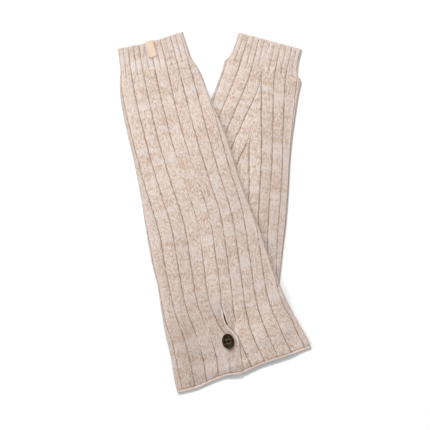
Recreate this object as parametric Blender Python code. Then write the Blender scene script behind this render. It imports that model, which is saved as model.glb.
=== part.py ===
"""A pair of ribbed knitted leg warmers, laid flat, the front one crossed over the back one.

Each leg warmer is one knitted tube: a finely ribbed cuff, a body of wide flat ribs and a hem.
It is built from flattened rings, one for each row down the leg. A ring starts at a seam line on
the upper layer, runs over the right fold, back along the underside, round the left fold and
returns to the seam line. The ribs are raised in the outer points, over a plain inside.

Down a leg, "along" is measured from the cuff's edge and "across" from the leg's centre line,
to the right as one looks from above with the cuff away from the viewer.
"""

from math import cos, pi, radians, sin

import bmesh
import bpy
import numpy as np
from mathutils import Matrix, Vector

MM = 0.001

# ---------------------------------------------------------------- driving sizes
FRONT_LENGTH = 409.5 * MM
BACK_LENGTH = 391 * MM
CUFF_DEPTH = 32 * MM

UNDER_WALL = 2.3 * MM          # layer that lies underneath
PLAIN_WALL = 1.8 * MM          # upper layer at the bottom of a groove
RIB_RISE = 1.0 * MM            # how far a rib stands above its grooves
FOLD_GAP = 0.5 * MM            # space between the two layers next to a fold
CROWN_GAP = 1.2 * MM           # how much wider that space is along the middle
SEAT_GAP = 0.3 * MM            # air between pieces that lie on each other

UPPER_WALL = PLAIN_WALL + RIB_RISE
EDGE_HEIGHT = UNDER_WALL + FOLD_GAP + UPPER_WALL
FOLD_RADIUS = EDGE_HEIGHT / 2
FOLD_SQUEEZE = 0.5             # ribs that turn round a fold are drawn this much closer

DRAPE_SHELF = 4 * MM           # the front leg stays level this far past the back leg's edge
DRAPE_WIDTH = 18 * MM          # and comes down to the surface over this width

ROW_STEP = 10.5 * MM
COLUMN_MERGE = 0.4 * MM        # columns that close up to less than this share one point
UNDERSIDE_COLUMNS = 12
UNDERSIDE_INSET = 1 * MM       # the underside's columns start this far beyond the last rib

# The points of one rib between its two grooves, with their heights from 0 to 1. A body rib is
# flat on top. A cuff rib is half as wide, so the cuff has one more groove in the middle.
RIB_POINTS = (
    # share of the width, height in the body, height in the cuff
    (0.16, 1.0, 0.95),
    (0.5, 1.0, 0.1),
    (0.84, 1.0, 0.95),
)
CUFF_FADE = 4 * MM             # the cuff's ribs turn into the body's within this much of its end
CUFF_ROWS = (0, 8, 16, 24, 29, 34, 41)   # where the rows lie in the cuff and just below, in mm


def table(names, *rows):
    """A short table in millimetres, as one array of metres for each named column."""
    return {name: np.array(column) * MM for name, column in zip(names.split(), zip(*rows))}


# ---------------------------------------------------------------- front leg's tables
FRONT_START = (-77.25 * MM, 205.0 * MM)
FRONT_HEADINGS = ((0, 15.93), (420, 15.93))

FRONT_EDGES = table(
    "along left right",
    (0, -40.1, 40.1),
    (12, -42.4, 40.9),
    (24, -45.0, 41.6),
    (33, -48.2, 42.2),
    (44, -51.0, 45.8),
    (58, -54.2, 48.4),
    (74, -55.9, 49.4),
    (104, -57.8, 52.4),
    (130, -58.9, 56.4),
    (168, -62.4, 57.6),
    (196, -65.4, 58.4),
    (230, -69.2, 61.8),
    (260, -72.0, 64.6),
    (285, -72.8, 66.4),
    (314, -76.4, 70.4),
    (343, -79.8, 73.6),
    (372, -81.2, 77.6),
    (398, -84.8, 83.6),
    (412, -84.8, 85.2),
)

# Where the body's grooves run: to the left of left_base and to the right of right_base, evenly.
# The button pulls the first groove on the left towards it by left_pull.
FRONT_RIBS = table(
    "along left_base left_pitch left_pull right_base right_pitch",
    (0, 11.5, 13.2, 0.0, 11.5, 12.8),
    (35, 10.5, 14.6, 0.0, 10.5, 13.2),
    (70, 8.3, 14.9, 0.0, 8.3, 14.3),
    (120, 6.8, 15.1, 0.0, 6.8, 14.4),
    (170, 8.3, 15.6, 0.0, 8.3, 13.7),
    (225, 10.0, 15.8, 0.0, 10.0, 13.4),
    (275, 3.6, 15.5, 0.0, 3.6, 13.6),
    (320, -3.4, 14.4, 0.0, -3.2, 13.8),
    (337, -1.5, 14.7, 0.0, -7.4, 14.6),
    (352, 0.6, 14.9, 0.2, -9.9, 15.4),
    (364, 2.6, 15.4, 2.6, -13.0, 16.7),
    (384, 4.2, 16.1, 0.6, -11.2, 16.8),
    (402, 0.2, 15.6, -0.6, -8.3, 16.9),
    (412, 0.0, 15.8, 0.0, -7.6, 17.0),
)
FRONT_RIBS_EACH_WAY = 6

# The hem's gentle wave: how far it hangs below or above its mean line.
FRONT_HEM = table(
    "across drop",
    (-84, 4.2),
    (-60, 4.6),
    (-47, 2.4),
    (-33, -0.2),
    (-19, 0.2),
    (-6, 2.8),
    (8, 2.8),
    (20, -0.5),
    (40, -1.8),
    (62, -2.8),
    (84, -4.4),
)
HEM_REACH = 50 * MM            # the wave dies out this far above the hem

# The vent: the left flap laps over the right edge below the point where they part.
VENT_TOP = 335.5 * MM
VENT = table(
    "along flap_edge under_edge",
    (335.5, -5.3, -5.3),
    (340.5, -6.1, -4.4),
    (346, -6.2, -4.0),
    (352, -5.3, -3.8),
    (358, -3.0, -6.0),
    (364, 0.6, -8.0),
    (371, 3.2, -9.5),
    (380, 2.3, -10.8),
    (394, -0.2, -12.0),
    (412, -2.8, -13.0),
)
VENT_RAISED_BY = 350 * MM      # from here down the flap lies at its full height
VENT_FADE = 20 * MM            # what the vent does to the layers begins this far above it
VENT_PRESS_WIDTH = 26 * MM     # the layers lie close together this near the vent
VENT_PRESS = 0.8               # the share of the space between them that is pressed out
FLAP_RAMP = 12 * MM            # the flap climbs over the under edge within this width
FLAP_CREST = 2 * MM            # and is at the top this far short of it
FLAP_LIFT = UPPER_WALL + 1.3 * SEAT_GAP
HEM_ROW = 7 * MM               # the last row but one lies this far above the hem

# ---------------------------------------------------------------- back leg's tables
BACK_START = (66.15 * MM, 205.6 * MM)
BACK_HEADINGS = (
    (0, -15.1),
    (72, -15.5),
    (144, -12.0),
    (216, -6.0),
    (278, 0.0),
    (336, 8.0),
    (402, 15.0),
)

BACK_EDGES = table(
    "along left right",
    (0, -39.4, 39.9),
    (16, -40.0, 40.2),
    (25, -41.2, 41.9),
    (34, -44.0, 46.4),
    (48, -45.6, 48.6),
    (66, -47.3, 51.0),
    (84, -49.3, 53.2),
    (110, -52.0, 56.3),
    (135, -55.0, 59.6),
    (174, -58.0, 64.0),
    (214, -59.0, 64.9),
    (255, -59.0, 63.4),
    (300, -57.0, 59.8),
    (350, -55.0, 56.0),
    (391, -55.0, 55.0),
)

# The grooves on the back leg. The calf's shaping starts as one groove just under the cuff and
# opens like a fan between the columns fan_left and fan_right, with two more grooves within it.
BACK_GROOVES = table(
    "along rib_a rib_b rib_c fan_left fan_a fan_b fan_right rib_f rib_g rib_h",
    (0, -39.5, -26.0, -13.4, 0.4, 0.4, 0.4, 0.4, 13.8, 27.4, 41.0),
    (42, -44.0, -27.6, -12.4, 0.9, 0.9, 0.9, 0.9, 16.6, 30.4, 44.4),
    (60, -44.2, -29.2, -13.8, 1.6, 3.1, 4.1, 5.8, 20.5, 34.5, 47.6),
    (90, -47.7, -33.2, -18.0, -3.5, 2.9, 7.0, 13.7, 28.2, 41.1, 54.0),
    (120, -52.0, -37.5, -22.8, -9.2, 5.4, 6.9, 21.6, 34.7, 47.6, 60.6),
    (150, -56.0, -41.5, -27.5, -14.3, -1.0, 12.3, 27.2, 40.2, 53.0, 65.6),
    (190, -59.5, -45.5, -32.4, -20.0, -5.6, 18.8, 31.8, 44.1, 57.0, 69.6),
    (240, -63.0, -49.6, -36.8, -24.0, -4.6, 16.5, 34.3, 46.6, 58.4, 70.4),
    (300, -66.0, -52.0, -38.0, -24.0, -4.6, 14.8, 34.0, 46.0, 57.6, 69.4),
    (391, -66.0, -52.0, -38.0, -24.0, -6.0, 12.0, 30.0, 42.0, 54.0, 66.0),
)
FAN_GROOVES_FROM = 112 * MM    # the two grooves inside the fan begin here
GROOVE_FADE = 14 * MM

# ---------------------------------------------------------------- small pieces
LABEL_ACROSS = (-7.0 * MM, 3.0 * MM)
LABEL_LENGTH = 20.2 * MM
LABEL_TUCK = 6 * MM            # the end that is folded inside the cuff
LABEL_THICKNESS = 0.7 * MM

BUTTON_ALONG = 371.5 * MM
BUTTON_ACROSS = -9.2 * MM
BUTTON_LENGTH = 19 * MM
BUTTON_WIDTH = 15.2 * MM
BUTTON_TURN = 13               # degrees, its long side close to the leg's own direction
BUTTON_SIDES = 32
BUTTON_PROFILE = (
    # radius as a share of the rim's, height in mm
    (0.0, 0.0),
    (0.72, 0.0),
    (0.93, 0.7),
    (1.0, 1.6),
    (0.95, 2.7),
    (0.8, 3.3),
    (0.66, 3.0),
    (0.56, 2.3),
    (0.0, 2.1),
)
HOLE_RADIUS = 0.95 * MM
HOLE_SPREAD = 1.9 * MM
HOLE_SIDES = 10

# ---------------------------------------------------------------- colours
FRONT_YARN = (216, 197, 184)
BACK_YARN = (219, 201, 189)
LABEL_CLOTH = (240, 221, 199)
BUTTON_BROWN = (56, 38, 21)


# ---------------------------------------------------------------- helpers
def smooth_step(value, low, high):
    """0 below low, 1 above high, and a soft S between them."""
    share = min(max((value - low) / (high - low), 0.0), 1.0)
    return share * share * (3 - 2 * share)


def read(rows, name, place, key="along"):
    """The named column of a table at a place, on a soft curve through its rows."""
    keys = rows[key]
    values = rows[name]
    place = min(max(place, keys[0]), keys[-1])
    after = min(max(int(np.searchsorted(keys, place)), 1), len(keys) - 1)
    before = after - 1
    span = keys[after] - keys[before]
    slopes = np.diff(values) / np.diff(keys)
    slope_in = (slopes[max(before - 1, 0)] + slopes[before]) / 2
    slope_out = (slopes[before] + slopes[min(before + 1, len(slopes) - 1)]) / 2
    t = (place - keys[before]) / span
    return (values[before] * (1 + 2 * t) * (1 - t) ** 2
            + slope_in * span * t * (1 - t) ** 2
            + values[after] * t * t * (3 - 2 * t)
            + slope_out * span * t * t * (t - 1))


class CentreLine:
    """A leg's centre line on the surface, from its start and its headings down the leg."""

    STEP = 1 * MM
    SPARE = 30 * MM            # the line runs on straight this far past both ends

    def __init__(self, start, headings):
        reach = headings[-1][0] * MM
        self.along = np.arange(-self.SPARE, reach + self.SPARE, self.STEP)
        places = [row[0] * MM for row in headings]
        turns = [radians(row[1]) for row in headings]
        self.heading = np.interp(self.along, places, turns)
        east = np.cumsum(np.sin(self.heading)) * self.STEP
        south = np.cumsum(np.cos(self.heading)) * self.STEP
        self.x = start[0] + east - np.interp(0, self.along, east)
        self.y = start[1] - south + np.interp(0, self.along, south)

    def place(self, along, across):
        """The point on the surface at a distance down the leg and across it."""
        heading = np.interp(along, self.along, self.heading)
        x = np.interp(along, self.along, self.x) + across * cos(heading)
        y = np.interp(along, self.along, self.y) + across * sin(heading)
        return x, y

    def locate(self, x, y):
        """The distance down the leg and across it of a point on the surface."""
        off_x = x - self.x
        off_y = y - self.y
        ahead = off_x * np.sin(self.heading) - off_y * np.cos(self.heading)
        nearest = int(np.argmin(np.abs(ahead)))
        heading = self.heading[nearest]
        across = off_x[nearest] * cos(heading) + off_y[nearest] * sin(heading)
        return self.along[nearest] + ahead[nearest], across


# ---------------------------------------------------------------- a flattened ribbed tube
class Leg:
    """What the two leg warmers share: the flattened ring, its folds and its raised ribs."""

    vent_top = None

    def __init__(self, start, headings, edges, length):
        self.line = CentreLine(start, headings)
        self.edges = edges
        self.length = length

    def parted(self, along):
        """Whether the ring is open at its seam line here, as it is below the top of a vent."""
        return self.vent_top is not None and along > self.vent_top

    # The parts that differ between the legs
    def grooves(self, along):
        """Groove places to the right of the seam line and to its left, outwards."""
        raise NotImplementedError

    def groove_depth(self, side, number, along):
        return 1.0

    def seam(self, along):
        """Where the upper layer's right part starts and its left part ends."""
        raise NotImplementedError

    def layer_gap(self, along, across, pillow):
        return FOLD_GAP + CROWN_GAP * pillow

    def lift(self, along, across, side):
        return 0.0

    def bed(self, x, y):
        """The height of what the leg lies on."""
        return 0.0

    def hem_drop(self, along, across):
        return 0.0

    # The ring. "round" is the way round it, equal to across on the right part of the top.
    def section(self, along):
        """The ring's landmarks: the flat's two ends across, and the folds' places round it."""
        flat_left = read(self.edges, "left", along) + FOLD_RADIUS
        flat_right = read(self.edges, "right", along) - FOLD_RADIUS
        fold = pi * FOLD_RADIUS
        under_right = flat_right + fold
        under_left = under_right + flat_right - flat_left
        return flat_left, flat_right, under_right, under_left, under_left + fold

    def round_of(self, along, across, side):
        """The way round the ring of a place across the top; past a fold it is drawn closer."""
        flat_left, flat_right, _, _, left_start = self.section(along)
        if side == "right":
            past = across - flat_right
            return across if past <= 0 else flat_right + past * FOLD_SQUEEZE
        past = flat_left - across
        return left_start - past * (FOLD_SQUEEZE if past > 0 else 1)

    def gap_at(self, along, across):
        flat_left, flat_right, *_ = self.section(along)
        middle = (flat_left + flat_right) / 2
        half = (flat_right - flat_left) / 2
        pillow = max(1 - ((across - middle) / half) ** 2, 0.0)
        return self.layer_gap(along, across, pillow)

    def crown(self, along, across, side=None):
        """The height of the ribs' tops above what the leg lies on."""
        top = UNDER_WALL + self.gap_at(along, across) + UPPER_WALL
        return top + self.lift(along, across, side)

    def outer_point(self, along, way, side, height):
        """A point on the ring's outside, with a rib's height there from 0 to 1."""
        flat_left, flat_right, under_right, under_left, left_start = self.section(along)
        sunk = (1 - height) * RIB_RISE
        if way <= flat_right:
            return way, self.crown(along, way, side) - sunk
        if way >= left_start:
            across = flat_left + way - left_start
            return across, self.crown(along, across, side) - sunk
        if under_right <= way <= under_left:
            return flat_right - (way - under_right), 0.0
        if way < under_right:
            centre, outward, angle = flat_right, 1, (way - flat_right) / FOLD_RADIUS
        else:
            centre, outward, angle = flat_left, -1, (left_start - way) / FOLD_RADIUS
        radius = FOLD_RADIUS - sunk * (1 - smooth_step(angle, 0, pi))
        return centre + outward * radius * sin(angle), FOLD_RADIUS + radius * cos(angle)

    def side_columns(self, along, side, seam, lines):
        """The top's columns on one side, outwards from the seam, as (way round, side, height)."""
        end = CUFF_DEPTH
        cuff_share = 1 - smooth_step(along, end - CUFF_FADE, end + CUFF_FADE)
        depth = 0.0 if self.parted(along) else 1.0
        columns = [(self.round_of(along, seam, side), side, 1 - depth)]
        start = seam
        for number, line in enumerate(lines, 1):
            for share, body_height, cuff_height in RIB_POINTS:
                height = body_height + (cuff_height - body_height) * cuff_share
                way = self.round_of(along, start + (line - start) * share, side)
                columns.append((way, side, height))
            height = 1 - self.groove_depth(side, number, along)
            columns.append((self.round_of(along, line, side), side, height))
            start = line
        return columns

    def outer_columns(self, along):
        """All of the ring's outer columns, from the seam line round to it."""
        right_seam, left_seam = self.seam(along)
        lines = self.grooves(along)
        right = self.side_columns(along, "right", right_seam, lines["right"])
        left = self.side_columns(along, "left", left_seam, lines["left"])
        _, _, under_right, under_left, _ = self.section(along)
        first = max(under_right, right[-1][0] + UNDERSIDE_INSET)
        last = min(under_left, left[-1][0] - UNDERSIDE_INSET)
        under = [(way, "under", 1.0) for way in np.linspace(first, last, UNDERSIDE_COLUMNS + 1)]
        return right + under + left[::-1]

    def outer_ring(self, along):
        """The ribbed outside as (way round, across, height)."""
        return [(way, *self.outer_point(along, way, side, height))
                for way, side, height in self.outer_columns(along)]

    def inner_ring(self, along):
        """The plain inside as (way round, across, height)."""
        flat_left, flat_right, under_right, under_left, left_start = self.section(along)
        right_seam, left_seam = self.seam(along)
        ring = []
        for across in np.linspace(right_seam, flat_right, self.inner_columns + 1):
            height = self.crown(along, across, "right") - UPPER_WALL
            ring.append((across, across, height))
        for across in np.linspace(flat_right, flat_left, self.inner_under_columns + 1):
            ring.append((under_right + flat_right - across, across, UNDER_WALL))
        for across in np.linspace(flat_left, left_seam, self.inner_columns + 1):
            height = self.crown(along, across, "left") - UPPER_WALL
            ring.append((left_start + across - flat_left, across, height))
        return ring

    def point(self, along, across, height):
        """A point of the laid leg, with the hem's wave and the bed under it."""
        x, y = self.line.place(along + self.hem_drop(along, across), across)
        return x, y, height + self.bed(x, y)

    def rows(self):
        """Where the rows lie down the leg, as far as a vent's top or the hem."""
        cuff = [place * MM for place in CUFF_ROWS]
        first = cuff.pop()
        last = self.vent_top or self.length
        count = round((last - first) / ROW_STEP)
        return cuff + list(np.linspace(first, last, count + 1))


class FrontLeg(Leg):
    """The leg warmer on top: it lies over the other one, and its hem has a buttoned vent."""

    vent_top = VENT_TOP
    inner_columns = 6
    inner_under_columns = 11

    def __init__(self, beneath):
        super().__init__(FRONT_START, FRONT_HEADINGS, FRONT_EDGES, FRONT_LENGTH)
        self.beneath = beneath

    def grooves(self, along):
        places = {"right": [], "left": []}
        for side, way in (("right", 1), ("left", -1)):
            base = read(FRONT_RIBS, side + "_base", along)
            pitch = read(FRONT_RIBS, side + "_pitch", along)
            for number in range(1, FRONT_RIBS_EACH_WAY + 1):
                places[side].append(base + way * number * pitch)
        places["left"][0] += read(FRONT_RIBS, "left_pull", along)
        return places

    def seam(self, along):
        if along <= VENT_TOP:
            down = smooth_step(along, VENT_TOP - VENT_FADE, VENT_TOP)
            base = read(FRONT_RIBS, "right_base", along)
            place = base + (VENT["flap_edge"][0] - base) * down
            return place, place
        return read(VENT, "under_edge", along), read(VENT, "flap_edge", along)

    def layer_gap(self, along, across, pillow):
        near = 1 - smooth_step(abs(across - VENT["flap_edge"][0]), 0, VENT_PRESS_WIDTH)
        pressed = near * smooth_step(along, VENT_TOP - VENT_FADE, VENT_RAISED_BY)
        return (FOLD_GAP + CROWN_GAP * pillow) * (1 - VENT_PRESS * pressed)

    def lift(self, along, across, side):
        if side != "left" or along <= VENT_TOP:
            return 0.0
        under_edge = read(VENT, "under_edge", along)
        down = smooth_step(along, VENT_TOP, VENT_RAISED_BY)
        over = smooth_step(across, under_edge - FLAP_RAMP, under_edge - FLAP_CREST)
        return FLAP_LIFT * down * over

    def bed(self, x, y):
        along, across = self.beneath.line.locate(x, y)
        left = read(self.beneath.edges, "left", along)
        right = read(self.beneath.edges, "right", along)
        outside = max(across - right, left - across, -along, along - self.beneath.length)
        top = self.beneath.crown(along, across) + SEAT_GAP
        return top * (1 - smooth_step(outside, DRAPE_SHELF, DRAPE_SHELF + DRAPE_WIDTH))

    def hem_drop(self, along, across):
        fade = smooth_step(along, self.length - HEM_REACH, self.length)
        return read(FRONT_HEM, "drop", across, key="across") * fade

    def rows(self):
        """The vent has rows of its own, down to the hem."""
        return super().rows() + list(VENT["along"][1:-1]) + [self.length - HEM_ROW, self.length]


class BackLeg(Leg):
    """The leg warmer beneath: the fan of grooves that shapes its calf lies on top."""

    inner_columns = 4
    inner_under_columns = 4
    RIGHT = ("fan_left", "fan_a", "fan_b", "fan_right", "rib_f", "rib_g", "rib_h")
    LEFT = ("rib_b", "rib_a")
    INSIDE_FAN = (2, 3)        # the places of fan_a and fan_b, counted from the seam line

    def __init__(self):
        super().__init__(BACK_START, BACK_HEADINGS, BACK_EDGES, BACK_LENGTH)

    def grooves(self, along):
        right = [read(BACK_GROOVES, name, along) for name in self.RIGHT]
        left = [read(BACK_GROOVES, name, along) for name in self.LEFT]
        right.append(2 * right[-1] - right[-2])
        left.append(2 * left[-1] - left[-2])
        return {"right": right, "left": left}

    def groove_depth(self, side, number, along):
        if side == "right" and number in self.INSIDE_FAN:
            return smooth_step(along, FAN_GROOVES_FROM, FAN_GROOVES_FROM + GROOVE_FADE)
        return 1.0

    def seam(self, along):
        place = read(BACK_GROOVES, "rib_c", along)
        return place, place


# ---------------------------------------------------------------- meshes
def shared_row(bm, points, ways):
    """One row of vertices, in which neighbours that close up are one vertex."""
    row = []
    last_way = None
    for point, way in zip(points, ways):
        if row and way - last_way < COLUMN_MERGE:
            row.append(row[-1])
        else:
            row.append(bm.verts.new(point))
            last_way = way
    return row


def add_face(bm, *corners):
    """A face from corners in order, without the ones that repeat their neighbour."""
    kept = [corner for n, corner in enumerate(corners) if corner is not corners[n - 1]]
    if len(kept) >= 3:
        bm.faces.new(kept)


def add_sheet(bm, rows):
    """The faces between neighbouring rows."""
    for upper, lower in zip(rows, rows[1:]):
        for n in range(len(upper) - 1):
            add_face(bm, upper[n], upper[n + 1], lower[n + 1], lower[n])


def add_rim(bm, outer, outer_ways, inner, inner_ways):
    """The strip between an outer and an inner row, matched by their ways round the ring."""
    i = 0
    j = 0
    while i < len(outer) - 1 or j < len(inner) - 1:
        inner_ends = j == len(inner) - 1
        outer_ends = i == len(outer) - 1
        if inner_ends or (not outer_ends and outer_ways[i + 1] <= inner_ways[j + 1]):
            add_face(bm, outer[i], outer[i + 1], inner[j])
            i += 1
        else:
            add_face(bm, outer[i], inner[j + 1], inner[j])
            j += 1


def add_skin(bm, leg, places, ring_at):
    """One skin of a leg. Gives back its rows of vertices and each one's ways round."""
    rows = []
    ways = []
    for along in places:
        ring = ring_at(along)
        ring_ways = [way for way, _, _ in ring]
        points = [Vector(leg.point(along, across, height)) for _, across, height in ring]
        if leg.parted(along):
            row = shared_row(bm, points, ring_ways)
        else:
            row = shared_row(bm, points[:-1], ring_ways)
            row.append(row[0])
        rows.append(row)
        ways.append(ring_ways)
    add_sheet(bm, rows)
    return rows, ways


def leg_mesh(leg):
    """The whole tube: two skins, the rims that join them, and the two edges of a vent."""
    bm = bmesh.new()
    places = leg.rows()
    outer, outer_ways = add_skin(bm, leg, places, leg.outer_ring)
    inner, inner_ways = add_skin(bm, leg, places, leg.inner_ring)
    for end in (0, -1):
        add_rim(bm, outer[end], outer_ways[end], inner[end], inner_ways[end])
    for n, along in enumerate(places[1:], 1):
        if leg.parted(along):
            for edge in (0, -1):
                add_face(bm, outer[n - 1][edge], outer[n][edge], inner[n][edge], inner[n - 1][edge])
    return bm


def linear(colour):
    """A colour given in 0 to 255, as Blender's linear values."""
    shares = [part / 255 for part in colour]
    values = [s / 12.92 if s <= 0.04045 else ((s + 0.055) / 1.055) ** 2.4 for s in shares]
    return (*values, 1.0)


def make_material(name, colour, roughness):
    material = bpy.data.materials.new(name)
    material.use_nodes = True
    shader = material.node_tree.nodes["Principled BSDF"]
    shader.inputs["Base Color"].default_value = linear(colour)
    shader.inputs["Roughness"].default_value = roughness
    shader.inputs["Metallic"].default_value = 0.0
    material.diffuse_color = linear(colour)
    return material


def add_object(name, bm, material):
    """Closes the mesh's faces outwards and puts it into the scene under its name."""
    bmesh.ops.recalc_face_normals(bm, faces=bm.faces)
    bmesh.ops.triangulate(bm, faces=bm.faces)
    mesh = bpy.data.meshes.new(name)
    bm.to_mesh(mesh)
    bm.free()
    mesh.materials.append(material)
    mesh.shade_smooth()
    mesh.set_sharp_from_angle(angle=radians(50))
    made = bpy.data.objects.new(name, mesh)
    bpy.context.collection.objects.link(made)
    return made


# ---------------------------------------------------------------- label tab
def label_mesh(leg):
    """A woven tab folded over the cuff's edge: its outside lies on the ribs, its end inside."""
    bm = bmesh.new()
    sides = []
    for across in LABEL_ACROSS:
        top = leg.crown(0, across)
        ceiling = top - UPPER_WALL
        lower = top + SEAT_GAP
        upper = lower + LABEL_THICKNESS
        inner_top = ceiling - SEAT_GAP
        inner_low = inner_top - LABEL_THICKNESS
        near = -SEAT_GAP
        far = near - LABEL_THICKNESS
        outline = (
            (LABEL_LENGTH, upper),
            (0, upper),
            (far, lower),
            (far, inner_top),
            (0, inner_low),
            (LABEL_TUCK, inner_low),
            (LABEL_TUCK, inner_top),
            (near, inner_top),
            (near, lower),
            (LABEL_LENGTH, lower),
        )
        sides.append([bm.verts.new(leg.point(along, across, height)) for along, height in outline])
    left, right = sides
    for n in range(len(left)):
        bm.faces.new((left[n - 1], left[n], right[n], right[n - 1]))
    bm.faces.new(left)
    bm.faces.new(right[::-1])
    return bm


# ---------------------------------------------------------------- button
def button_place(leg):
    """The button's centre and the height of the knit's highest point under it."""
    x, y = leg.line.place(BUTTON_ALONG, BUTTON_ACROSS)
    tops = []
    for reach in (0, BUTTON_WIDTH / 4, BUTTON_WIDTH / 2):
        for turn in range(0, 360, 45):
            along = BUTTON_ALONG + reach * cos(radians(turn))
            across = BUTTON_ACROSS + reach * sin(radians(turn))
            height = leg.crown(along, across, "left")
            tops.append(leg.point(along, across, height)[2])
    return x, y, max(tops) + SEAT_GAP


def button_mesh():
    """An oval button with a raised rim and a dished middle, its underside at height 0."""
    bm = bmesh.new()
    points = [bm.verts.new((share * BUTTON_WIDTH / 2, 0, height * MM))
              for share, height in BUTTON_PROFILE]
    edges = [bm.edges.new(pair) for pair in zip(points, points[1:])]
    bmesh.ops.spin(
        bm, geom=points + edges, axis=(0, 0, 1), cent=(0, 0, 0),
        angle=2 * pi, steps=BUTTON_SIDES, use_merge=True)
    bmesh.ops.remove_doubles(bm, verts=bm.verts, dist=0.01 * MM)
    bmesh.ops.scale(bm, verts=bm.verts, vec=(1, BUTTON_LENGTH / BUTTON_WIDTH, 1))
    return bm


def hole_mesh():
    """The four holes' cutter: straight pins through the button."""
    bm = bmesh.new()
    height = 4 * max(row[1] for row in BUTTON_PROFILE) * MM
    for x in (-HOLE_SPREAD, HOLE_SPREAD):
        for y in (-HOLE_SPREAD, HOLE_SPREAD):
            bmesh.ops.create_cone(
                bm, cap_ends=True, segments=HOLE_SIDES, radius1=HOLE_RADIUS,
                radius2=HOLE_RADIUS, depth=height, matrix=Matrix.Translation((x, y, 0)))
    return bm


def add_button(leg):
    x, y, height = button_place(leg)
    brown = make_material("button_brown", BUTTON_BROWN, 0.35)
    button = add_object("button", button_mesh(), brown)
    cutter = add_object("button_holes", hole_mesh(), brown)
    cutter.hide_render = True
    cutter.display_type = "WIRE"
    for piece in (button, cutter):
        piece.location = (x, y, height)
        piece.rotation_euler = (0, 0, radians(BUTTON_TURN))
    cut = button.modifiers.new("holes", "BOOLEAN")
    cut.operation = "DIFFERENCE"
    cut.solver = "EXACT"
    cut.object = cutter


# ---------------------------------------------------------------- the pair
def main():
    for left_over in list(bpy.data.objects):
        bpy.data.objects.remove(left_over, do_unlink=True)
    back = BackLeg()
    front = FrontLeg(beneath=back)
    add_object("back_leg", leg_mesh(back), make_material("back_yarn", BACK_YARN, 0.95))
    add_object("front_leg", leg_mesh(front), make_material("front_yarn", FRONT_YARN, 0.95))
    add_object("label_tab", label_mesh(front), make_material("label_cloth", LABEL_CLOTH, 0.85))
    add_button(front)


main()
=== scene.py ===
"""A pair of ribbed knitted leg warmers, laid flat and crossed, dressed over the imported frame.

Each leg warmer is one closed shell of knitting. It starts as a plain grid, which is rolled into
a flattened tube: outside from the cuff to the hem, and inside back again. Down a leg, "along"
is measured from the cuff's edge and "across" from the leg's centre line. The "way" goes round
the tube from the seam line on top: over the right fold, under the leg and round the left fold.
"""

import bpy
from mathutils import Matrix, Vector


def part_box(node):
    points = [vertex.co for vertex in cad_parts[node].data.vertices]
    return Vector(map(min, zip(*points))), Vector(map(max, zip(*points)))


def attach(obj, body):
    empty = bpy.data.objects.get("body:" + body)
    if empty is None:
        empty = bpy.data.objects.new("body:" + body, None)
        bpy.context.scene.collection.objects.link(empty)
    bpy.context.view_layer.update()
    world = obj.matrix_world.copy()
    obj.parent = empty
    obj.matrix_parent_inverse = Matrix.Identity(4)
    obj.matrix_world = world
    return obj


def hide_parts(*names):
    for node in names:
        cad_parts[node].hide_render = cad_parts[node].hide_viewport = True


bl_info = {
    "name": "Knitted Leg Warmers",
    "version": (1, 0, 0),
    "blender": (4, 5, 0),
    "location": "View3D > Sidebar > Leg Warmers",
    "description": "Dresses a pair of laid leg warmers: knitting, label tab, button and stage",
    "category": "Object",
}

from math import cos, pi, radians, sin

import bmesh
import bpy
import numpy as np
from bpy.props import FloatProperty, FloatVectorProperty, PointerProperty
from mathutils import Matrix, Vector

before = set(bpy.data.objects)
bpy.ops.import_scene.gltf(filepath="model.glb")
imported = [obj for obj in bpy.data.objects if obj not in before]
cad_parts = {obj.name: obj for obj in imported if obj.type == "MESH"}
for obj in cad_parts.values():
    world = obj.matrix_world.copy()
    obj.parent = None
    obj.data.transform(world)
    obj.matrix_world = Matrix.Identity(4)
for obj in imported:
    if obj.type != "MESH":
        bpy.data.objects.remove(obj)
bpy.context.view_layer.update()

MM = 0.001


# ---------------------------------------------------------------- tables
def table(names, *rows):
    """A short table in millimetres, as one array of metres for each named column."""
    return {name: np.array(column) * MM for name, column in zip(names.split(), zip(*rows))}


# Both legs: the cuff, the walls of the two layers, the space between them, and the folds.
FRONT_LENGTH = 409.5 * MM
BACK_LENGTH = 391 * MM
CUFF_DEPTH = 32 * MM
CUFF_FADE = 4 * MM             # half the height in which the cuff's ribs become the body's
UNDER_WALL = 2.3 * MM
UPPER_WALL = 2.8 * MM
THINNEST = 0.4 * MM            # the least cloth above a hollow in the underside
FOLD_GAP = 0.5 * MM            # between the layers, at the folds
CROWN_GAP = 1.2 * MM           # and how much more in the leg's middle
LEAST_GAP = 0.12 * MM          # under a trough in the upper layer
SEAT_GAP = 0.3 * MM            # between the two legs
FOLD_RADIUS = (UNDER_WALL + FOLD_GAP + UPPER_WALL) / 2
FOLD_SQUEEZE = 0.5             # grooves past a fold lie this much closer

# How the front leg falls past the back one's edge. Its upper layer bridges that edge more
# softly, but not near its own folds, nor near its hem.
DRAPE_SHELF = 2.5 * MM
DRAPE_WIDTH = 13 * MM
BRIDGE = (-6 * MM, 46 * MM)    # from inside the edge to outside it
BRIDGE_FROM_FOLD = 26 * MM
BRIDGE_ABOVE_HEM = (46 * MM, 8 * MM)

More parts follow.
